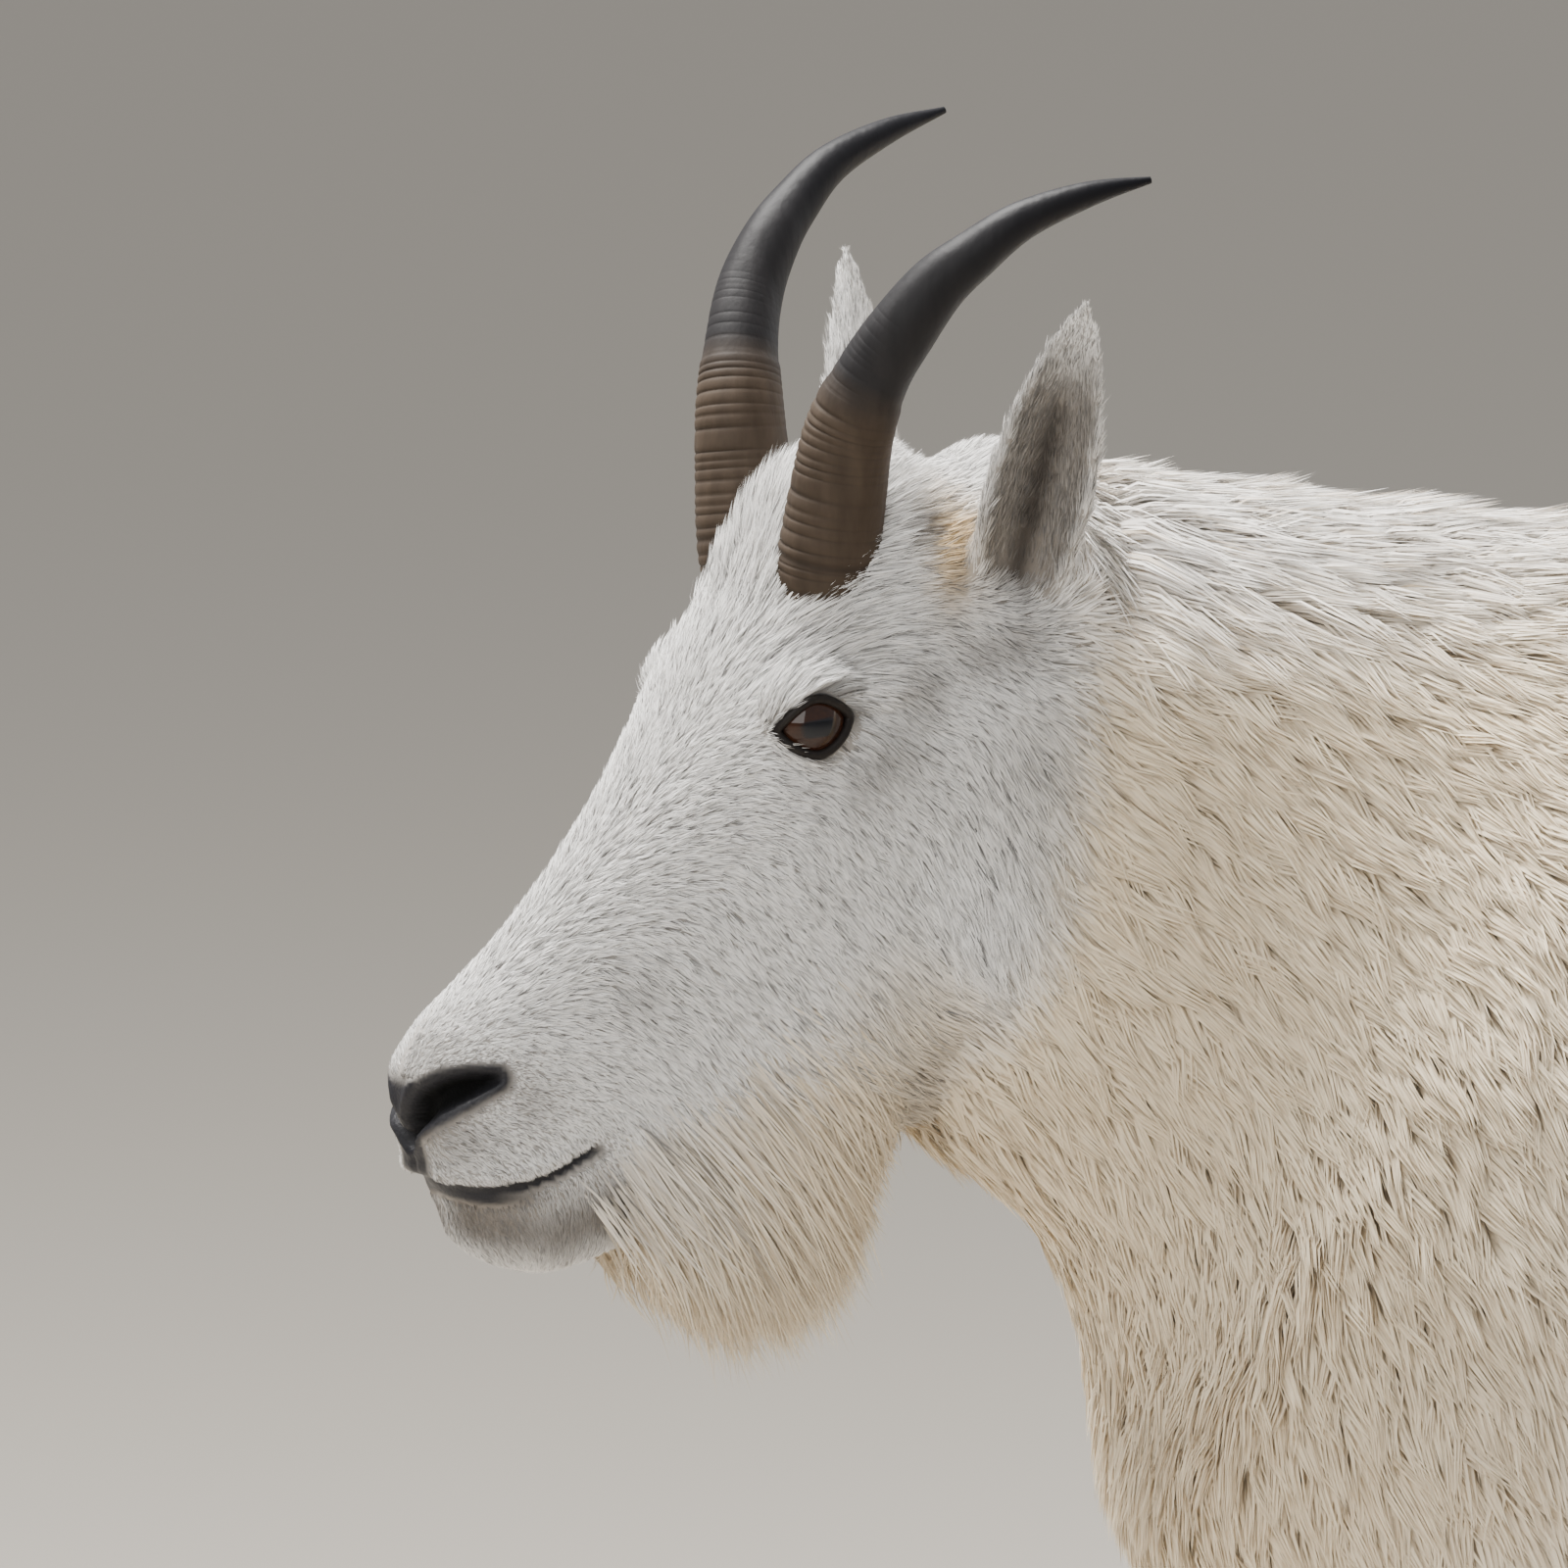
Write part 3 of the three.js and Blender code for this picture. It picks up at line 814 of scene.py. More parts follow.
def markings(at):
    """Shares of each colour, of bare skin and of the nostril's hollow."""
    here = at.mirrored
    hx, hy, hz = here.T
    bz = at.body_point[:, 2]
    inner_ear = at.ear * at.inner * rise(np.abs(at.ear_side), 0.95, 0.62) * rise(at.ear_along, 116, 78)
    warm = 0.34 + 0.30 * rise(bz, 860, 740)
    # The nape is white and the neck wool creamier lower down: partly the wool's own cream, partly painted
    # shade below the bright nape.
    warm = mix(warm, 0.10 + 0.78 * rise(bz, 850, 785), at.neck)
    face_warm = 0.03 + 0.42 * rise(hx, 20, -70) * rise(hz, 10, -40) * rise(hz, -40, -100) + 0.45 * at.jaw
    warm = mix(warm, face_warm, at.head)
    warm = mix(warm, 0.50 + 0.25 * rise(bz, 200, 90), at.leg)
    warm = mix(warm, 0.05, at.ear)
    # Painted shade: the face turns a little grey below the bridge, down its sides.
    grey = 0.06 * at.head * rise(hz, 25, -5)
    tawny = 0.14 * at.foot + 0.14 * at.jaw
    dark = 0 * grey
    # The grey and dark shares of the spots are painted shade; the tawny shares are stains.
    for (_, _, size, more_grey_shade, more_tawny, more_dark_shade), spot in zip(SPOTS, SPOT_PLACES):
        share = near(here, spot, (size, size * 1.4, size)) * at.head
        grey = grey + more_grey_shade * share
        tawny = tawny + more_tawny * share
        dark = dark + more_dark_shade * share
    # The inner ear is grey with some dark, darkest along the middle of its hollow: partly the ear's own
    # grey, partly painted shade.
    ear_hollow_shade = ridge(at.ear_side + 0.05, 0.24) * rise(at.ear_along, -6, 8) * rise(at.ear_along, 92, 62)
    grey = grey * (1 - at.ear) + inner_ear * (0.92 + 0.2 * ear_hollow_shade)
    dark = dark + inner_ear * (0.16 + 0.75 * ear_hollow_shade)
    reach, radius = to_nostril(here)
    bare = rise(reach, radius + 6.6, radius + 2.2)
    # The nostril's hollow is painted near black as painted shade.
    hollow = rise(reach, radius + 0.4, radius - 1.0)
    front = rise(hx, 182, 188) * rise(hy, 12, 8) * rise(hz, -6, -1)
    reach, share, below = to_path(here, MOUTH)
    lip_line = rise(reach, 2.8, 1.8) * rise(share, 1.0, 0.9)
    chin = rise(below, -0.5, 0.5) * rise(reach, 8.0, 5.5) * rise(share, 0.72, 0.4)
    measure, _ = lid_measure(here)
    lids = rise(measure, 1.26, 1.14) * (np.linalg.norm(here - EYE_CENTRE, axis=1) < 24)
    bare = np.clip(bare + front + lip_line + chin + lids, 0, 1) * at.head
    shares = {"warm": warm, "grey": grey, "tawny": tawny, "dark": dark, "bare": bare, "hollow": hollow}
    return {name: np.clip(values, 0, 1) for name, values in shares.items()}


at_skin = Places(before_carving)
skin_normals = read_normals(skin_mesh)
at_skin.inner = inside_of_ear(at_skin, skin_normals)
skin_masks = markings(at_skin)
for mask_name, mask_values in skin_masks.items():
    set_mask(skin_mesh, mask_name, mask_values)
set_mask(skin_mesh, "face", at_skin.head)
print("masks", {name: round(float(values.mean()), 3) for name, values in skin_masks.items()})

# %% [markdown]
# Seen between the locks the skin is brown on the body and grey on the face, painted shade for the gaps
# between the locks. Where it is bare, at the nose, lips and lids, it is slate black, finely grained and a
# little moist, and near black inside the nostril as painted shade.

# %% Skin finish
GREY = paint(0.20, 0.178, 0.155)
TAWNY = paint(0.50, 0.35, 0.17)
PEAT = paint(0.035, 0.028, 0.023)
SLATE = paint(0.010, 0.010, 0.013)

skin_look = Finish("skin")
# Painted shade for the gaps between the locks: brown under the body's coat, grey under the face's.
under = skin_look.blend(skin_look.mask("face"), paint(0.55, 0.43, 0.29), paint(0.38, 0.365, 0.345))
under = skin_look.blend(skin_look.mask("tawny"), under, TAWNY)
# Grey: mostly painted shade on the face and in the ears.
under = skin_look.blend(skin_look.mask("grey"), under, GREY)
mottle = skin_look.noise(140.0)
under = skin_look.blend(mottle * 0.3, under, paint(0.36, 0.31, 0.25))
under = skin_look.blend(skin_look.mask("dark"), under, PEAT)
bare_mask = skin_look.mask("bare")
grain = skin_look.noise(900.0, 4.0)
slate = skin_look.blend(grain * 0.5, SLATE, paint(0.040, 0.039, 0.043))
# Near black inside the nostril: painted shade.
slate = skin_look.blend(skin_look.mask("hollow"), slate, paint(0.002, 0.002, 0.002))
skin_mesh.materials.append(skin_look.finish(
    Base_Color=skin_look.blend(bare_mask, under, slate),
    Roughness=0.85 - bare_mask * 0.38 + skin_look.mask("hollow") * 0.5,
    Specular_IOR_Level=0.22,
    Normal=skin_look.bump(grain, 0.5, 0.0006),
))
print("skin finish nodes", len(skin_look.tree.nodes))

# %% [markdown]
# Horns, hooves and lids are lofts: a row of stations, each with a middle, a tall and a wide half size,
# and a smooth skin run through them.

# %% Lofts


def run_through(rows, count):
    """Values at even steps on a smooth curve through the rows."""
    rows = np.asarray(rows, float)
    spots = np.linspace(0, len(rows) - 1, count)
    index = np.clip(spots.astype(int), 0, len(rows) - 2)
    t = (spots - index)[:, None]
    before = rows[np.maximum(index - 1, 0)]
    start, end = rows[index], rows[index + 1]
    after = rows[np.minimum(index + 2, len(rows) - 1)]
    slope_in, slope_out = (end - before) / 2, (after - start) / 2
    return ((2 * t**3 - 3 * t**2 + 1) * start + (t**3 - 2 * t**2 + t) * slope_in
            + (3 * t**2 - 2 * t**3) * end + (t**3 - t**2) * slope_out)


def ring_mesh(name, rings):
    """A closed mesh from rings of points, with a fan over each end."""
    count, around = rings.shape[:2]
    points = np.concatenate([rings.reshape(-1, 3), rings[0].mean(0)[None], rings[-1].mean(0)[None]])
    first_end, last_end = count * around, count * around + 1
    last_ring = (count - 1) * around
    turn = [(k, (k + 1) % around) for k in range(around)]
    faces = []
    for row in range(0, last_ring, around):
        faces += [(row + k, row + nxt, row + around + nxt, row + around + k) for k, nxt in turn]
    for k, nxt in turn:
        faces.append((nxt, k, first_end))
        faces.append((last_ring + k, last_ring + nxt, last_end))
    mesh = bpy.data.meshes.new(name)
    mesh.from_pydata(points.tolist(), [], faces)
    body = bmesh.new()
    body.from_mesh(mesh)
    bmesh.ops.recalc_face_normals(body, faces=body.faces)
    body.to_mesh(mesh)
    body.free()
    mesh.shade_smooth()
    return mesh


def tube(name, path, tall, wide, up, around):
    """A bar along a path of points, with a tall half size toward up and a wide one across it."""
    run = unit(np.gradient(path, axis=0))
    side = unit(np.cross(run, up))
    high = np.cross(side, run)
    angle = np.linspace(0, 2 * np.pi, around, endpoint=False)
    tall, wide = np.reshape(tall, (len(path), -1)), np.reshape(wide, (len(path), -1))
    rings = (path[:, None] + high[:, None] * (tall * np.cos(angle))[..., None]
             + side[:, None] * (wide * np.sin(angle))[..., None])
    return ring_mesh(name, rings)


def place_piece(name, mesh, slot, *nodes):
    """Puts a piece on the goat's one body and hides the solids that it stands for."""
    item = link_mesh(name, mesh)
    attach(item, "root")
    if nodes:
        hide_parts(*nodes)


print("a run through two rows", run_through([[0.0], [1.0]], 3).ravel())

# %% [markdown]
# A horn is a sheath of hard, fibrous horn. Its lower third is brown, and above the step it is black. The
# mask named along runs from the root to the tip, and the one named furrow is 1 between the rings, where the
# brown is darkened as painted shade.

# %% Horn finish
RING_STEP = 0.36
horn_look = Finish("horn")
along_horn = horn_look.mask("along")
furrow = horn_look.mask("furrow")
black_part = ((along_horn - RING_STEP) * 14.0 + 0.5).clamp()
fibre = horn_look.noise(160.0, 5.0, (1, 1, 0.25))
brown = horn_look.blend(fibre, paint(0.026, 0.018, 0.012), paint(0.075, 0.054, 0.038))
# Darker brown in the grooves between the rings: painted shade.
brown = horn_look.blend(furrow * 0.45, brown, paint(0.014, 0.010, 0.008))
black = horn_look.blend(fibre, paint(0.007, 0.007, 0.008), paint(0.022, 0.020, 0.021))
black = horn_look.blend((along_horn * 2.0 - 0.9).clamp(), black, paint(0.004, 0.004, 0.006))
horn_material = horn_look.finish(
    Base_Color=horn_look.blend(black_part, brown, black),
    Roughness=0.72 - black_part * 0.12 - (along_horn * 2.2 - 1.0).clamp() * 0.12,
    Specular_IOR_Level=0.18,
    Normal=horn_look.bump(fibre + furrow * -0.6, 0.5, 0.0010),
)
print("horn finish nodes", len(horn_look.tree.nodes))

# %% [markdown]
# Each horn is a slim cone that rises from the brow and bends back. Its lower third is ringed, one ring
# for each hard season, and ends in a step. The rings are real relief, so that they show in the outline,
# and finer lines come from the bump. Horns seldom match: the right one is bowed and raised more.

# %% Horns
HORN = [
    # forward, outward, upward, radius
    [-40, 27, 10, 17.5], [-51, 30, 20, 18], [-73, 34.5, 35.5, 17], [-92, 39, 48, 15.6], [-112, 47, 57, 13.4],
    [-130, 55, 61.5, 12.4], [-148, 60.5, 63, 10.9], [-163, 66, 61, 9.3], [-183, 72, 56, 7.2],
    [-205, 77, 43, 4.7], [-223, 81, 28, 1.3],
]
HORN_ROWS = 420
HORN_AROUND = 40
RING_WAVES = 118
FIRST_GROOVE = 0.115
RIGHT_BOW = 5
RIGHT_LIFT = 9


def horn_ring_relief(share, side):
    """Height of the rings along the horn, unevenly spaced and a little different on each side."""
    phase = share * RING_WAVES + 0.9 * np.sin(share * 41 + side) + 0.5 * np.sin(share * 97 + 2 * side)
    wave = np.abs(np.sin(phase * np.pi / 2))
    return wave**0.45 - 0.75


def horn_path(rows, share, side):
    bow = RIGHT_BOW * (side < 0) * np.sin(np.pi * share)
    lift = RIGHT_LIFT * (side < 0) * share**2
    x = rows[:, 0] + 0.7 * bow - 0.78 * lift
    return np.stack([x, side * rows[:, 1], rows[:, 2] + bow + 0.64 * lift], axis=1)


rows = run_through(HORN, HORN_ROWS)
share = np.linspace(0, 1, HORN_ROWS)
angle = np.linspace(0, 2 * np.pi, HORN_AROUND, endpoint=False)
front_edge = 0.25 + 0.75 * np.clip(np.cos(angle), 0, 1)
ringed = 0.3 * rise(share, RING_STEP + 0.22, RING_STEP)
ringed = ringed + 0.7 * rise(share, RING_STEP + 0.01, RING_STEP - 0.03)
collar = 0.55 * rise(share, RING_STEP + 0.010, RING_STEP - 0.004)
collar = collar - 0.5 * ridge(share - FIRST_GROOVE, 0.004)
for horn_name, side in (("horn_left", 1), ("horn_right", -1)):
    relief = horn_ring_relief(share, side)
    radius = (rows[:, 3] + collar)[:, None] + 0.75 * (relief * ringed)[:, None] * front_edge
    path = from_head(horn_path(rows, share, side))
    mesh = tube(horn_name, path, radius / MM, 0.94 * radius / MM, head_axes[2], HORN_AROUND)
    mesh.materials.append(horn_material)
    place_piece(f"{horn_name}_sheath", mesh, "horn", horn_name)
    furrows = (rise(relief, 0.0, -0.5) * ringed)[:, None] * front_edge
    furrows = furrows + ridge(share - FIRST_GROOVE, 0.006)[:, None]
    set_mask(mesh, "along", np.concatenate([np.repeat(share, HORN_AROUND), [0, 1]]))
    set_mask(mesh, "furrow", np.concatenate([furrows.ravel(), [0, 0]]))
    print(f"{horn_name}_sheath", "faces", len(mesh.polygons))

# %% [markdown]
# A goat's eye is a dark wet ball with a brown iris and a wide, level pupil. The ball's own directions are
# kept as masks, so the shader can draw iris and pupil anywhere on it. The lids' bare rim is black.

# %% Eye and lid finishes
eye_look = Finish("eye")
across, upward = eye_look.mask("across"), eye_look.mask("upward")
from_middle = (across**2 + upward**2) ** 0.5
pupil = (1.35 - ((across / 0.40) ** 4 + (upward / 0.20) ** 4)).clamp()
iris_edge = ((0.74 - from_middle) * 9).clamp()
streak = eye_look.noise(420.0, 4.0)
iris = eye_look.blend(streak, paint(0.014, 0.006, 0.004), paint(0.036, 0.014, 0.008))
iris = eye_look.blend((from_middle * 3.2 - 1.5).clamp() * 0.7, iris, paint(0.062, 0.023, 0.010))
ball_colour = eye_look.blend(iris_edge, paint(0.010, 0.007, 0.006), iris)
eye_material = eye_look.finish(
    Base_Color=eye_look.blend(pupil, ball_colour, paint(0.006, 0.007, 0.010)),
    Roughness=0.05,
    Specular_IOR_Level=0.36,
)
lid_look = Finish("lid")
lid_grain = lid_look.noise(1100.0)
lid_material = lid_look.finish(
    Base_Color=lid_look.blend(lid_grain, paint(0.006, 0.005, 0.005), paint(0.022, 0.018, 0.016)),
    Roughness=0.45,
    Specular_IOR_Level=0.16,
    Normal=lid_look.bump(lid_grain, 0.3, 0.0003),
)


print("eye finish nodes", len(eye_look.tree.nodes), "lid", len(lid_look.tree.nodes))

# %% [markdown]
# The ball is a sphere with a slight bulge for the cornea, which catches the light as a wet eye does. The
# rim is a thin tube that follows the almond of the opening, just outside the ball.

# %% Eyes and lid rims
RIM_STEPS = 97
RIM_HALF = 0.0017
rim_angle = np.linspace(0, 2 * np.pi, RIM_STEPS)


def eyeball(name, side):
    body = bmesh.new()
    bmesh.ops.create_uvsphere(body, u_segments=72, v_segments=48, radius=1.0)
    mesh = bpy.data.meshes.new(name)
    body.to_mesh(mesh)
    body.free()
    spots = read_points(mesh)
    in_front = spots[:, 2] > 0
    bulge = in_front * np.exp(-((np.hypot(spots[:, 0], spots[:, 1]) / 0.62) ** 4))
    turned = spots @ np.array([eye_long, eye_high, eye_out])
    local = EYE_CENTRE + turned * (EYE_RADIUS - 0.5 + 0.9 * bulge)[:, None]
    write_points(mesh, from_head(local * np.array([1, side, 1])))
    if side < 0:
        mesh.flip_normals()
    mesh.shade_smooth()
    set_mask(mesh, "across", spots[:, 0] + np.where(in_front, 0.0, 2.0))
    set_mask(mesh, "upward", spots[:, 1])
    return mesh


def lid_rim(name, side):
    along = LID_HALF_LONG * np.cos(rim_angle)
    high = LID_HALF_HIGH * np.sin(rim_angle) / (1 + LID_POINT * np.cos(rim_angle) ** 2)
    toward = eye_out + np.tan(along)[:, None] * eye_long + np.tan(high)[:, None] * eye_high
    local = EYE_CENTRE + unit(toward) * (EYE_RADIUS + 0.9)
    half = np.full(RIM_STEPS, RIM_HALF)
    path = from_head(local * np.array([1, side, 1]))
    return tube(name, path, half, half, unit(side * eye_out[1] * head_axes[1]), 10)


for eye_name, side in (("eye_left", 1), ("eye_right", -1)):
    ball = eyeball(f"{eye_name}_ball", side)
    ball.materials.append(eye_material)
    place_piece(f"{eye_name}_ball", ball, "eye", eye_name)
    rim = lid_rim(f"{eye_name}_rim", side)
    rim.materials.append(lid_material)
    place_piece(f"{eye_name}_rim", rim, "nose")
print("eyeballs", 2 * EYE_RADIUS, "mm across")

# %% [markdown]
# Each foot has two toes and, behind the pastern, two small dewclaws. A toe is steeper at the front than
# at the heel, rounded at the tip and flat below, where it carries the weight.

# %% Hooves and dewclaws
CORONET = 46
FORE_SHARE = 1 - CORONET / 570
HIND_SHARE = 1 - CORONET / 650
TOE_AROUND = 48
TOE_SPACING = 14.5
FEET = {
    # along the body, across it, and how far the stride shifts the foot
    "front_left": (290, -90, -12 * FORE_SHARE), "front_right": (290, 90, 30 * FORE_SHARE),
    "hind_left": (963, -90, 20 * HIND_SHARE), "hind_right": (963, 90, -35 * HIND_SHARE),
}
hoof_look = Finish("hoof")
layers = hoof_look.noise(60.0, 4.0, (0.3, 0.3, 4.0))
dust = hoof_look.noise(30.0, 5.0)
hoof_colour = hoof_look.blend(layers, paint(0.035, 0.029, 0.025), paint(0.125, 0.10, 0.08))
hoof_material = hoof_look.finish(
    Base_Color=hoof_look.blend((dust * 1.6 - 0.7).clamp() * 0.6, hoof_colour, paint(0.25, 0.21, 0.17)),
    Roughness=0.55 + dust * 0.25,
    Normal=hoof_look.bump(layers, 0.5, 0.001),
)
TOE = [
    # height, front edge, back edge, half width
    [0.0, -36.5, 22.5, 11.2], [0.8, -37.6, 23.8, 12.2], [6, -37.0, 25, 12.5], [25, -31, 26, 12.1],
    [45.6, -23, 25, 11],
]
DEWCLAW = [
    # behind the foot, outward, height, half size
    [18, 13, 84, 9], [33, 14, 75, 8], [41, 14, 66, 5], [43, 14, 63, 1.5],
]


def rounded(values):
    """Draws a circle's sine or cosine out toward a box with soft corners."""
    return np.sign(values) * np.abs(values) ** 0.8


def toe_mesh(name, x, y):
    rows = run_through(TOE, 40)
    angle = np.linspace(0, 2 * np.pi, TOE_AROUND, endpoint=False)
    round_x, round_y = rounded(np.cos(angle)), rounded(np.sin(angle))
    middle, half = (rows[:, 1] + rows[:, 2]) / 2, (rows[:, 2] - rows[:, 1]) / 2
    lines = 0.12 * np.sin(rows[:, 0] * 1.9)
    px = x + middle[:, None] + (half + lines)[:, None] * round_x
    py = y + (rows[:, 3] + lines)[:, None] * round_y * (1 + 0.12 * round_x)
    pz = np.repeat(np.maximum(rows[:, 0], 0)[:, None], TOE_AROUND, axis=1)
    return ring_mesh(name, from_body(np.stack([px, py, pz], axis=-1)))


def claw_mesh(name, x, y, way):
    stops = [[x + back, y + way * outward, height, half] for back, outward, height, half in DEWCLAW]
    rows = run_through(stops, 24)
    half = rows[:, 3] / MM
    return tube(name, from_body(rows[:, :3]), half, half, np.array([1.0, 0, 0]), 20)


for foot, (x, y, stride) in FEET.items():
    x = x + stride
    outward = math.copysign(1, y)
    for toe, way in (("outer", outward), ("inner", -outward)):
        pair = {
            "hoof": toe_mesh(f"toe_{foot}_{toe}", x, y + way * TOE_SPACING),
            "dewclaw": claw_mesh(f"claw_{foot}_{toe}", x, y, way),
        }
        for solid, mesh in pair.items():
            mesh.materials.append(hoof_material)
            place_piece(mesh.name, mesh, "hoof", f"{solid}_{foot}_{toe}")
print("toes", 2 * len(FEET), "dewclaws", 2 * len(FEET))

# %% [markdown]
# The lie of the coat is a flow over the skin. A few guides say which way the hair runs at named places,
# and every other place takes a blend of the guides near it. On the bridge it runs to the forehead, on
# the cheeks down, on the forehead up to the horns, and over neck and body back and down.

# %% Lie of the coat
# Each guide is a place in millimetres and a direction, for the left half.
HEAD_GUIDES = np.array([
    [185, 0, 28, -0.6, 0.4, 0], [140, 0, 30, -1, 0.1, 0], [95, 0, 27, -1, 0.1, 0], [55, 0, 27, -1, 0.1, 0],
    [20, 0, 34, -1, 0.1, 0.1], [-20, 0, 42, -1, 0.1, 0.3], [-60, 0, 48, -1, 0, 0.4],
    [-95, 0, 32, -1, 0, -0.1],
    [130, 20, 22, -0.9, 0.4, -0.4], [95, 24, 18, -0.8, 0.5, -0.6], [60, 32, 16, -0.8, 0.4, -0.6],
    [30, 40, 16, -0.7, 0.5, -0.5], [150, 30, -8, -0.3, 0.2, -0.9], [110, 34, -16, -0.1, 0.1, -1],
    [75, 42, -30, 0.1, 0.1, -1], [30, 52, -36, 0.2, 0.1, -1], [-5, 56, -28, 0.1, 0.1, -1],
    [-35, 60, -30, -0.1, 0.1, -1], [-30, 62, -70, 0.35, 0, -0.95], [10, 60, -70, 0.35, 0, -0.95],
    [0, 50, 24, -0.9, 0.3, 0.05], [-22, 52, 18, -0.85, 0.2, -0.5], [-50, 52, 4, -0.7, 0.3, -0.7],
    [-60, 60, -38, 0.0, 0.2, -1], [14, 50, 22, -0.8, 0.4, 0.1], [22, 50, 2, -0.3, 0.3, -0.9],
    [165, 30, -55, 0.2, 0, -1], [130, 34, -85, 0.08, 0, -1], [90, 42, -100, -0.2, 0, -1],
    [50, 48, -110, -0.4, 0, -0.95], [110, 40, -55, 0.12, 0, -1], [60, 50, -75, 0.2, 0, -1],
    [10, 58, -110, 0.6, 0, -0.8], [-30, 60, -110, 0.6, 0, -0.8],
    [215, 0, -14, 0.6, 0.3, -0.7], [200, 18, -30, 0.4, 0.1, -0.9], [205, 0, -60, 0.85, 0, -0.5],
    [195, 20, 5, -0.2, 0.5, -0.8], [188, 16, -52, 0.8, 0.1, -0.6], [150, 0, -90, 0.3, 0, -1],
    [100, 0, -125, -0.1, 0, -1], [50, 0, -148, -0.4, 0, -0.9], [-75, 55, -45, -0.5, 0.4, -0.2],
], float)
BODY_GUIDES = np.array([
    [100, 0, 880, 0.9, 0, 0.25], [200, 0, 870, 0.95, 0, 0.2], [350, 0, 870, 1, 0, 0.2],
    [450, 0, 910, 1, 0, 0.1], [700, 0, 880, 1, 0, 0], [1000, 0, 850, 1, 0, -0.1],
    [110, 75, 800, 0.8, 0, -0.6], [110, 70, 700, 0.72, 0, -0.7], [100, 40, 630, 0.5, 0, -0.87],
    [200, 90, 780, 0.75, 0, -0.66], [200, 90, 680, 0.62, 0, -0.78], [140, 30, 580, 0.3, 0, -0.95],
    [320, 130, 800, 0.75, 0, -0.6], [300, 140, 650, 0.5, 0, -0.85], [170, 90, 520, 0.2, 0, -0.98],
    [140, 0, 460, 0.35, 0, -0.94], [500, 160, 700, 0.7, 0, -0.7], [500, 160, 520, 0.5, 0, -0.86],
    [750, 170, 700, 0.75, 0, -0.66], [750, 160, 530, 0.6, 0, -0.8], [600, 0, 420, 1, 0, -0.3],
    [950, 160, 700, 0.6, 0, -0.8], [950, 130, 540, 0.3, 0, -0.95], [1080, 80, 720, 0.4, 0, -0.9],
    [310, 94, 380, 0.15, 0, -1], [305, 90, 260, 0.1, 0, -1], [305, 90, 150, 0.05, 0, -1],
    [295, 90, 60, -0.3, 0, -1],
    [950, 98, 430, 0.3, 0, -1], [1000, 92, 300, 0.1, 0, -1], [990, 90, 180, -0.1, 0, -1],
    [965, 90, 60, -0.3, 0, -1],
    [1120, 0, 750, 0.5, 0, -0.9], [1128, 0, 700, 0.2, 0, -1],
], float)


def guided(points, guides, reach):
    """A blend of the guides' directions, in which a guide closer than the reach counts most."""
    total = np.zeros_like(points)
    for guide in guides:
        distance = np.sum((points - guide[:3]) ** 2, axis=1)
        total += unit(guide[3:])[None] * (1 / (distance + reach**2) ** 2)[:, None]
    return unit(total)


def coat_lie(at):
    """The way the hair runs at each place, as a world direction."""
    in_head = guided(at.mirrored, HEAD_GUIDES, 9.0)
    in_head = unit(mix(in_head, ear_axis[None], at.ear[:, None]))
    in_head = flipped(in_head, side_of(at.head_point))
    in_body = guided(at.body_mirrored, BODY_GUIDES, 40.0)
    return unit(mix(in_body, in_head @ head_axes, np.maximum(at.head, at.ear)[:, None]))


def along_skin(flow, normals):
    """The flow without the part of it that leaves the skin."""
    return unit(flow - normals * np.sum(flow * normals, axis=1)[:, None])


print("guides", len(HEAD_GUIDES) + len(BODY_GUIDES))

# %% [markdown]
# A particle system could scatter the tufts, but they have to be solid mesh here. Each tuft picks a
# triangle of the skin by chance, in proportion to its area and to how densely that place is haired, and
# then a random place in it. Bare skin gets none.

# %% Scatter roots over the skin
skin_mesh.calc_loop_triangles()
triangle_points = read_rows(skin_mesh.loop_triangles, "vertices", 3, int)
triangle_loops = read_rows(skin_mesh.loop_triangles, "loops", 3, int)
corner_uv = read_rows(skin_mesh.uv_layers["OFBake"].data, "uv", 2)
skin_points = read_points(skin_mesh)
skin_bare = skin_masks["bare"]
corners = skin_points[triangle_points]
triangle_cross = np.cross(corners[:, 1] - corners[:, 0], corners[:, 2] - corners[:, 0])
triangle_area = np.linalg.norm(triangle_cross, axis=1) / 2
triangle_places = Places(corners.mean(axis=1))
triangle_bare = skin_bare[triangle_points].mean(axis=1)


def scatter(weight, count):
    """Root points, normals, map places and bareness, chosen over the skin in proportion to the weight."""
    chance = triangle_area * weight * (1 - triangle_bare)
    chance = np.where(chance < 0, 0, chance)
    ladder = np.cumsum(chance) / chance.sum()
    picked = np.searchsorted(ladder, (np.arange(count) + dice.random(count)) / count)
    picked = np.minimum(picked, len(chance) - 1)
    a, b = dice.random(count), dice.random(count)
    flip = a + b > 1
    a, b = np.where(flip, 1 - a, a), np.where(flip, 1 - b, b)
    shares = np.stack([1 - a - b, a, b], axis=1)[..., None]
    roots = (skin_points[triangle_points[picked]] * shares).sum(axis=1)
    normals = unit((skin_normals[triangle_points[picked]] * shares).sum(axis=1))
    spots = (corner_uv[triangle_loops[picked]] * shares).sum(axis=1)
    bare = (skin_bare[triangle_points[picked]] * shares[..., 0]).sum(axis=1)
    return roots, normals, spots, bare


print("skin triangles", len(triangle_points))

# %% [markdown]
# Hair clings together in locks, so every few roots one is made a leader, and each root belongs to the
# leader nearest to it. A tuft is a thin leaf that tapers to a point. All the leaves of a piece are
# written as whole arrays, and each leaf is a tiny patch at its root's place on the skin's map.

# %% Locks and leaves
PATCH = 0.003


def lock_of(roots, size):
    """For each root, the number of the root that leads its lock."""
    leaders = np.arange(0, len(roots), size)
    dice.shuffle(leaders)
    tree = kdtree.KDTree(len(leaders))
    for place, leader in enumerate(leaders):
        tree.insert(roots[leader], place)
    tree.balance()
    return np.array([leaders[tree.find(root)[1]] for root in roots])


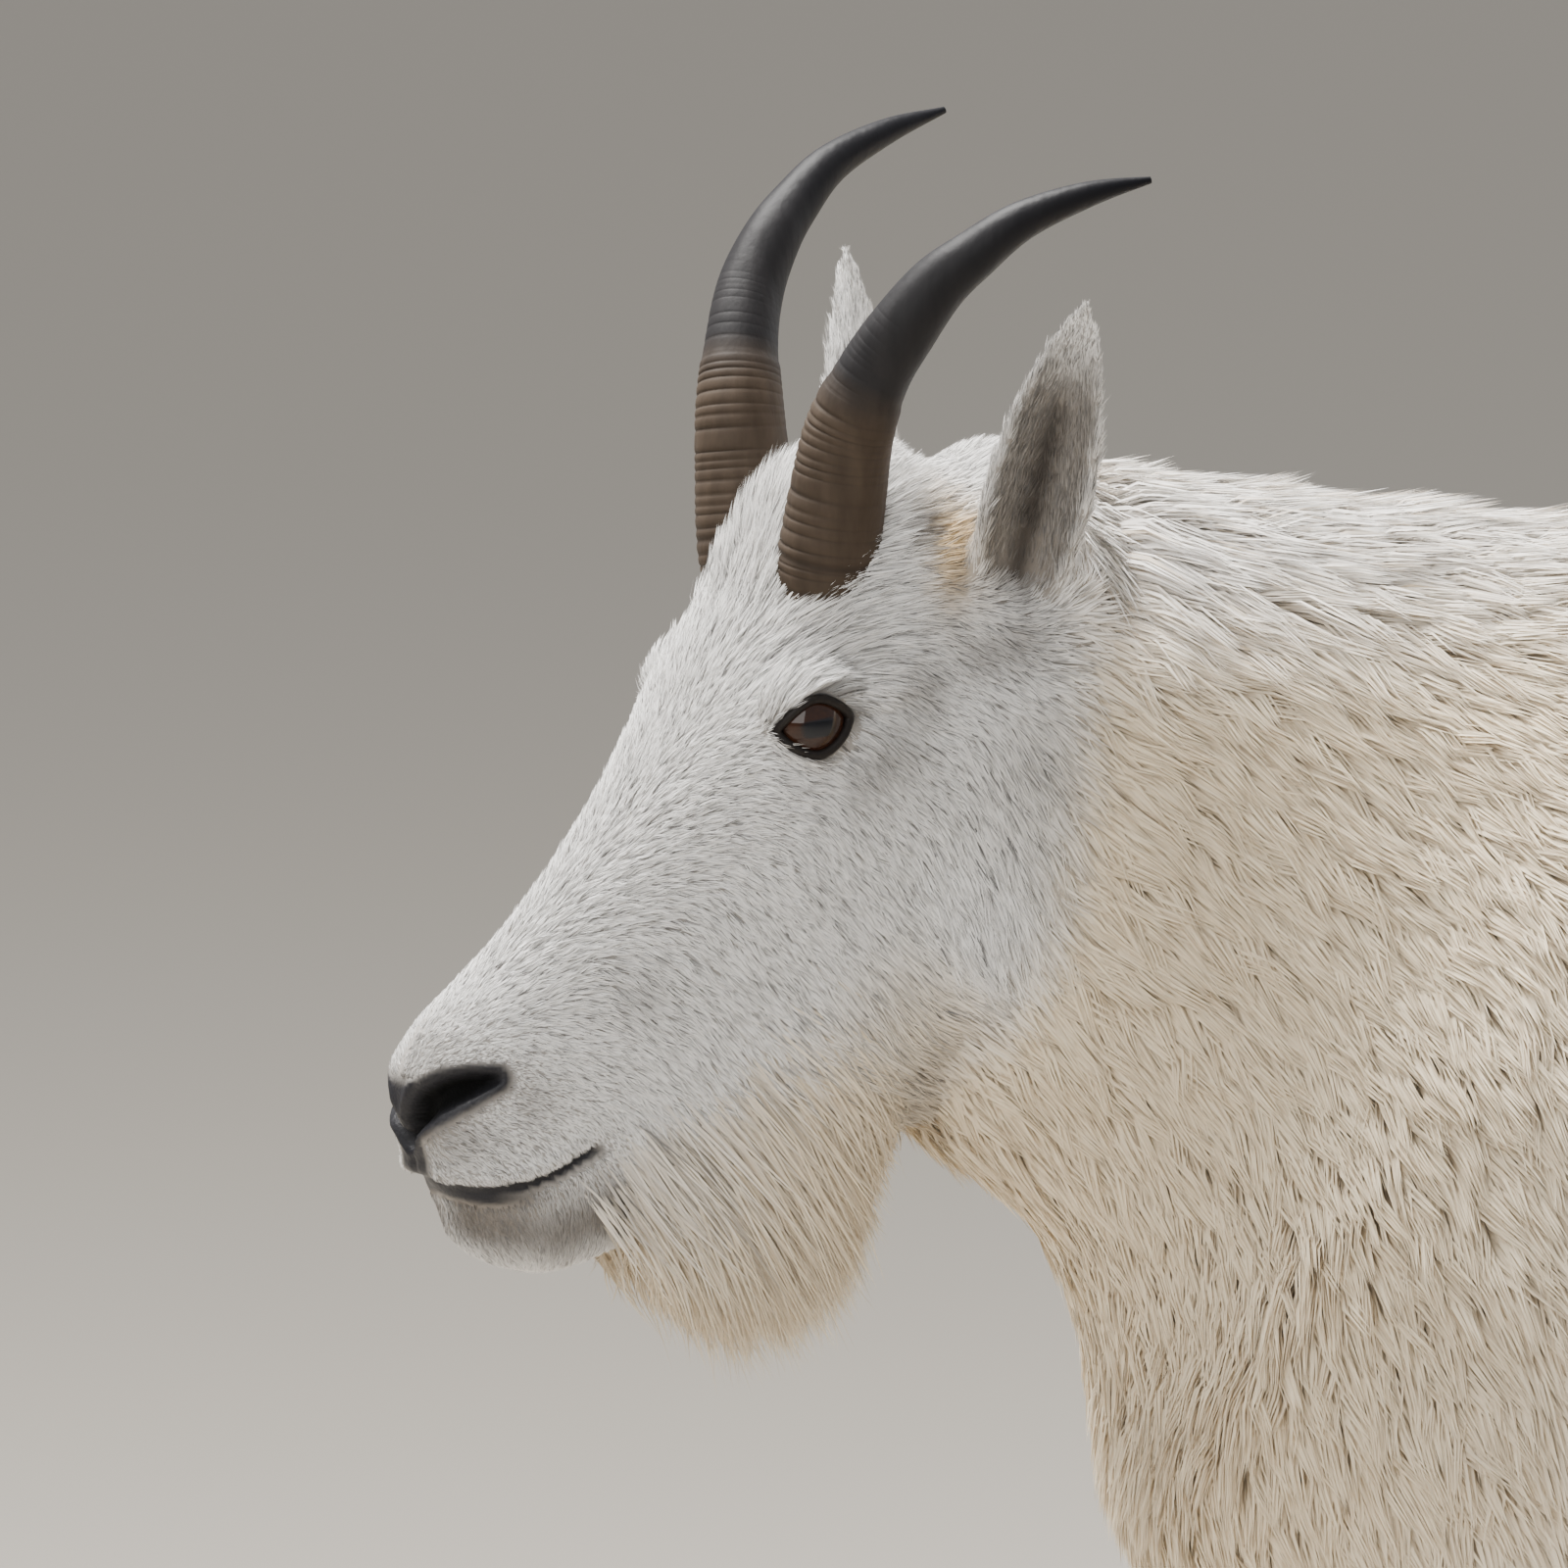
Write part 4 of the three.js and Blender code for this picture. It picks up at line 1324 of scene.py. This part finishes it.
def leaf_mesh(name, spine, side, width, spots, masks):
    """A mesh of tapering leaves from their spines (tuft, row, xyz)."""
    count, rows = spine.shape[:2]
    reach = np.linspace(0, 1, rows)
    taper = width[:, None] * (1 - reach**1.7) * (0.72 + 0.6 * reach * (1 - reach) * 2)
    offset = side * taper[..., None] / 2
    left, right = spine - offset, spine + offset
    pairs = np.stack([left[:, :-1], right[:, :-1]], axis=2).reshape(count, -1, 3)
    points = np.concatenate([pairs, spine[:, -1:]], axis=1)
    per_tuft = points.shape[1]
    pattern = []
    for a in range(0, 2 * (rows - 2), 2):
        pattern += [(a, a + 1, a + 3), (a, a + 3, a + 2)]
    pattern.append((per_tuft - 3, per_tuft - 2, per_tuft - 1))
    faces = (np.arange(count)[:, None, None] * per_tuft + np.array(pattern)[None]).reshape(-1, 3)
    mesh = bpy.data.meshes.new(name)
    mesh.vertices.add(count * per_tuft)
    mesh.vertices.foreach_set("co", points.astype(np.float32).ravel())
    mesh.loops.add(len(faces) * 3)
    mesh.loops.foreach_set("vertex_index", faces.astype(np.int32).ravel())
    mesh.polygons.add(len(faces))
    mesh.polygons.foreach_set("loop_start", np.arange(0, len(faces) * 3, 3, dtype=np.int32))
    mesh.update(calc_edges=True)
    mesh.shade_smooth()
    row_reach = np.concatenate([np.repeat(reach[:-1], 2), [1.0]])
    sideways = np.concatenate([np.tile([-0.5, 0.5], rows - 1), [0.0]])
    patch = np.stack([sideways, row_reach - 0.5], axis=1) * PATCH
    places = (spots[:, None] + patch[None]).reshape(-1, 2)
    layer = mesh.uv_layers.new(name="OFBake")
    layer.data.foreach_set("uv", np.clip(places[faces.ravel()], 0, 1).astype(np.float32).ravel())
    set_mask(mesh, "reach", np.tile(row_reach, count))
    for mask_name, values in masks.items():
        set_mask(mesh, mask_name, np.repeat(values, per_tuft))
    return mesh


print("map patch of a tuft", PATCH)

# %% [markdown]
# The coat is shortest and finest on the muzzle, the ears and the feet, longer on the crown and the
# cheeks, and longest on the trunk. By the nostrils and the lips it is cut to half.

# %% Length, width and height of the tufts
COAT_HEIGHTS = [60, 180, 260, 340, 440]


def coat_measures(at):
    """Length, width and height of the tufts in millimetres, and how far they wave."""
    bz = at.body_point[:, 2]
    high = coat_depth(at) * 0.93
    length = mix(40.0, 27 + 8 * at.nape, at.neck)
    width = mix(3.0, 1.45, at.neck)
    length = mix(length, np.interp(bz, COAT_HEIGHTS, [9, 13, 18, 28, 38]), at.leg)
    width = mix(width, np.interp(bz, COAT_HEIGHTS, [0.9, 1.2, 1.6, 2.1, 3.0]), at.leg)
    horn_foot = near(at.mirrored, (-44, 30, 14), (22, 22, 20))
    lip_reach, _, _ = to_path(at.mirrored, MOUTH)
    nose_reach, _ = to_nostril(at.mirrored)
    chin_tuft = near(at.mirrored, (196, 10, -50), (22, 30, 18))
    by_opening = rise(np.minimum(lip_reach, nose_reach - 4), 12, 3) * at.head
    face_length = 8.5 + 10 * at.crown + 8 * at.cheek + 7 * at.throat - 4.2 * at.muzzle + 16 * at.jaw
    face_length = face_length + 3 * horn_foot + 3.5 * chin_tuft
    length = mix(length, face_length, at.head)
    width = mix(width, 0.62 + 0.22 * at.cheek + 0.15 * at.crown - 0.15 * at.muzzle + 0.3 * at.jaw, at.head)
    high = high + (1.0 * horn_foot + 5.0 * at.jaw) * at.head
    length = length * (1 - 0.5 * by_opening)
    length = mix(length, 9.5 - 5.5 * rise(at.ear_along, 88, 118), at.ear)
    width = mix(width, 0.6, at.ear)
    high = mix(high, 1.3, at.ear)
    length = mix(length, 42, at.tail)
    wave = mix(2.4, 0.35, at.head) * mix(1, 0.3, at.leg)
    return length, width, high, wave


print("tuft length", [int(value) for value in np.percentile(coat_measures(at_skin)[0], [1, 50, 99])], "mm")

# %% [markdown]
# A tuft leaves the skin, rises to the top of the coat and lies down along it. Neighbours lean in to the
# spine of their leader, which is what makes locks and the dark gaps between them. All the tufts of an
# area are worked out together as arrays of numbers, which is quick even for many thousands.

# %% Lay the tufts
TUFT_ROWS = 3
ROOT_SINK = 0.0006
REACH = np.linspace(0, 1, TUFT_ROWS)[None, :, None]
ARCH = 2 * REACH - REACH**2


def tuft_curve(start, way, tall, up, long):
    """Spines that climb early and then run on along the skin."""
    run = start[:, None] + way[:, None] * long[:, None, None] * REACH
    return run + up[:, None] * tall[:, None, None] * ARCH


def lay_tufts(roots, normals, at, lock_size, lean):
    """Spines, the way each leaf is broad, widths and leaders of the tufts at the roots."""
    total = len(roots)
    length, width, high, wave = coat_measures(at)
    flow = along_skin(coat_lie(at), normals)
    flow = unit(flow + 0.16 * dice.normal(size=(total, 3)))
    flow = along_skin(flow, normals)
    length = length * dice.uniform(0.72, 1.15, total) / MM
    high = high * dice.uniform(0.55, 1.04, total) / MM
    width = width * dice.uniform(0.7, 1.3, total) / MM
    leader = lock_of(roots, lock_size)
    own_flow = unit(flow + 0.10 * dice.normal(size=(total, 3)))[leader] * 0.55 + flow * 0.45
    own = tuft_curve(roots - normals * ROOT_SINK, own_flow, high, normals, length)
    lead = tuft_curve(roots[leader], flow[leader], high[leader], normals[leader], length[leader])
    pull = lean * REACH**1.3
    spread = (roots - roots[leader])[:, None] * (1 - 0.75 * REACH)
    spine = own * (1 - pull) + (lead + spread) * pull
    side = unit(np.cross(normals, flow))
    swing = np.sin(2 * np.pi * (REACH[..., 0] * 1.3 + dice.random(total)[leader][:, None]))
    spine = spine + side[:, None] * (wave / MM)[:, None, None] * (swing * REACH[..., 0])[..., None]
    twist = dice.normal(0, 0.45, total)[:, None]
    return spine, unit(side * np.cos(twist) + normals * np.sin(twist)), width, leader


print("rows in a tuft", TUFT_ROWS)

# %% [markdown]
# Hair is painted darkest where it leaves the skin and lightest at the tip, as painted shade deep in the
# coat. The markings choose between white, cream, grey and tawny, and each lock is a little lighter or
# darker than the next. A few odd hairs are darker still, most of all on the face.

# %% Coat finish
WHITE = paint(0.90, 0.89, 0.875)
CREAM = paint(0.80, 0.67, 0.46)
coat_look = Finish("coat")
tip = coat_look.mask("reach")
face_mask = coat_look.mask("face")
hair = coat_look.blend(coat_look.mask("warm"), WHITE, CREAM)
# Grey: mostly painted shade on the face and in the ears, random grey in the beard.
hair = coat_look.blend(coat_look.mask("grey"), hair, GREY)
hair = coat_look.blend(coat_look.mask("tawny"), hair, TAWNY)
# Darker toward the root, brown on the body and grey on the face: painted shade deep in the coat.
root_shade_share = (1 - tip) ** 2 * 0.46
root_shade_colour = coat_look.blend(face_mask, paint(0.48, 0.34, 0.20), paint(0.40, 0.385, 0.37))
hair = coat_look.blend(root_shade_share, hair, root_shade_colour)
odd_hair = coat_look.blend(face_mask, paint(0.56, 0.45, 0.31), paint(0.17, 0.165, 0.16))
odd_share = (0.40 - coat_look.mask("tone")).clamp() * (1.8 + face_mask * 1.4)
hair = coat_look.blend(odd_share, hair, odd_hair)
hair = coat_look.blend(coat_look.mask("dark"), hair, PEAT)
coat_material = coat_look.finish(
    Base_Color=hair,
    Roughness=0.75,
    Sheen_Weight=0.25,
    Sheen_Roughness=0.5,
    Specular_IOR_Level=0.25,
)
print("coat finish nodes", len(coat_look.tree.nodes))

# %% [markdown]
# The coat is grown in pieces, the face with the most and finest tufts. Each tuft takes the markings of
# its root, and up to one in ten round the whiskers is a dark speck.

# %% Grow the coat
MOST_BARE = 0.6


def grow(name, weight, count, lock_size, lean):
    """Grows one piece of the coat where the weight says."""
    roots, normals, spots, bare = scatter(weight, count)
    at = Places(roots)
    at.inner = inside_of_ear(at, normals)
    haired = bare < MOST_BARE
    masks = {mask_name: values[haired] for mask_name, values in markings(at).items()}
    at.keep(haired)
    roots, normals, spots, bare = roots[haired], normals[haired], spots[haired], bare[haired]
    total = len(roots)
    spine, side, width, leader = lay_tufts(roots, normals, at, lock_size, lean)
    tone = 0.5 + 0.22 * dice.normal(size=total)
    tone = tone + 0.25 * (dice.random(total)[leader] - 0.5)
    masks["tone"] = np.clip(tone, 0, 1)
    masks["face"] = at.head
    by_whiskers = near(at.mirrored, WHISKER_BED, (13, 16, 13)) + near(at.mirrored, WHISKER_END, (9, 14, 7))
    speck = dice.random(total) < 0.10 * by_whiskers
    masks["dark"] = np.clip(masks["dark"] + 1.3 * bare, 0, 1)
    masks["dark"] = np.clip(masks["dark"] + 0.8 * speck, 0, 1)
    mesh = leaf_mesh(name, spine, side[:, None], width, spots, masks)
    mesh.materials.append(coat_material)
    place_piece(name, mesh, "coat")
    print(name, "tufts", total, "triangles", len(mesh.polygons))


at = triangle_places
left_of_head = at.head_point[:, 1] > 0
left_of_body = at.body_point[:, 1] < 0
fore_face = at.head_point[:, 0] > 62
head_share = at.head * (1 - at.ear)
face_weight = head_share * (1 + 1.2 * at.muzzle) * (1 - 0.75 * at.jaw)
neck_share = at.neck * (1 - at.ear) * (1 - at.leg)
trunk_share = (1 - at.head) * (1 - at.neck) * (1 - at.leg) * (1 - at.ear)
COAT = [
    # piece, weight, tufts, roots to a leader, lean toward it
    ("coat_face_left_fore", face_weight * left_of_head * fore_face, 50000, 7, 0.48),
    ("coat_face_left_rear", face_weight * left_of_head * ~fore_face, 52000, 7, 0.48),
    ("coat_face_right", face_weight * ~left_of_head, 60000, 6, 0.45),
    ("coat_jaw", head_share * at.jaw, 14000, 8, 0.4),
    ("coat_ears", at.ear, 32000, 4, 0.25),
    ("coat_neck_left", neck_share * left_of_body, 64000, 22, 0.50),
    ("coat_neck_right", neck_share * ~left_of_body, 46000, 20, 0.50),
    ("coat_trunk_left", trunk_share * left_of_body, 48000, 9, 0.36),
    ("coat_trunk_right", trunk_share * ~left_of_body, 48000, 9, 0.36),
    ("coat_legs", at.leg * (1 - at.head), 44000, 8, 0.4),
]
for piece in COAT:
    grow(*piece)

# %% [markdown]
# The beard is long hair from the sides and the underside of the jaw. Each hair leaves the skin, falls
# over the edge of the jaw and ends near the line that the solid gives, front to back, so that the beard
# has no seam with the coat of the cheek.

# %% Beard
BEARD_ROOT_X = [182, 174, 158, 141, 123, 106, 90, 62]
BEARD_TIP_X = [187, 191, 190, 172, 148, 124, 98, 62]
BEARD_TIP_Z = [-84, -112, -142, -166, -173, -162, -148, -132]
BEARD_TUFTS = 20000
BEARD_ROWS = 5


def beard_zone(at):
    """How densely the beard's hair stands at each place."""
    hx, _, hz = at.head_point.T
    side_of_jaw = rise(hz, -34, -62) * rise(hx, 52, 84) * rise(hx, 186, 172)
    return at.head * side_of_jaw * (1 + 2.0 * rise(hz, -60, -84)) * mix(1.0, 0.35, rise(hx, 150, 172))


def grow_beard(count, rows):
    roots, normals, spots, _ = scatter(beard_zone(triangle_places), count)
    local = to_head(roots)
    out = normals @ head_axes.T
    swept = 12 * rise(local[:, 2], -85, -55)
    forward = np.clip(local[:, 0] - swept + dice.normal(0, 6, count), 62, 182)
    station = np.interp(-forward, [-x for x in BEARD_ROOT_X], range(len(BEARD_ROOT_X)))
    tips = np.stack([
        np.interp(station, range(len(BEARD_TIP_X)), BEARD_TIP_X),
        local[:, 1] * dice.uniform(0.25, 0.75, count),
        np.interp(station, range(len(BEARD_TIP_Z)), BEARD_TIP_Z) + 0.35 * np.abs(local[:, 1]),
    ], axis=1)
    tips = tips + dice.normal(0, 5.0, (count, 3))
    bend = local + out * 9.0 + (tips - local) * 0.42
    low = rise(local[:, 2], -40, -80)
    cut = dice.uniform(0.30 + 0.35 * low, 0.70 + 0.44 * low, count)[:, None, None]
    reach = np.linspace(0, 1, rows)[None, :, None] * cut
    spine = local[:, None] * (1 - reach) ** 2 + 2 * bend[:, None] * reach * (1 - reach)
    spine = spine + tips[:, None] * reach**2
    clump = lock_of(roots, 9)
    lead = spine[clump] + (local - local[clump])[:, None] * (1 - 0.7 * reach)
    spine = spine * (1 - 0.5 * reach) + lead * 0.5 * reach
    world = from_head(spine.reshape(-1, 3)).reshape(spine.shape)
    run = unit(world[:, -1] - world[:, 0])
    side = unit(np.cross(run, normals) + 0.3 * dice.normal(size=(count, 3)))
    masks = {
        "warm": 0.30 + 0.40 * low + dice.uniform(0, 0.2, count),
        "grey": 0.05 + 0.14 * dice.random(count),
        "tawny": low * (0.03 + 0.12 * dice.random(count)),
        "dark": np.zeros(count),
        "face": 1 - 0.6 * low,
        "tone": np.clip(0.5 + 0.24 * dice.normal(size=count), 0, 1),
    }
    width = dice.uniform(0.7, 1.5, count) / MM
    mesh = leaf_mesh("coat_beard", world, side[:, None], width, spots, masks)
    mesh.materials.append(coat_material)
    place_piece("coat_beard", mesh, "coat", "beard")
    print("coat_beard tufts", count, "triangles", len(mesh.polygons))


grow_beard(BEARD_TUFTS, BEARD_ROWS)

# %% [markdown]
# The last cell notes the size of the solids and of the finished goat.

# %% Finish
visual_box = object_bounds()
past_low = [round(float(value), 4) for value in cad_box[0] - visual_box[0]]
past_high = [round(float(value), 4) for value in visual_box[1] - cad_box[1]]
print("grown past the solids by", past_low, "low and", past_high, "high")
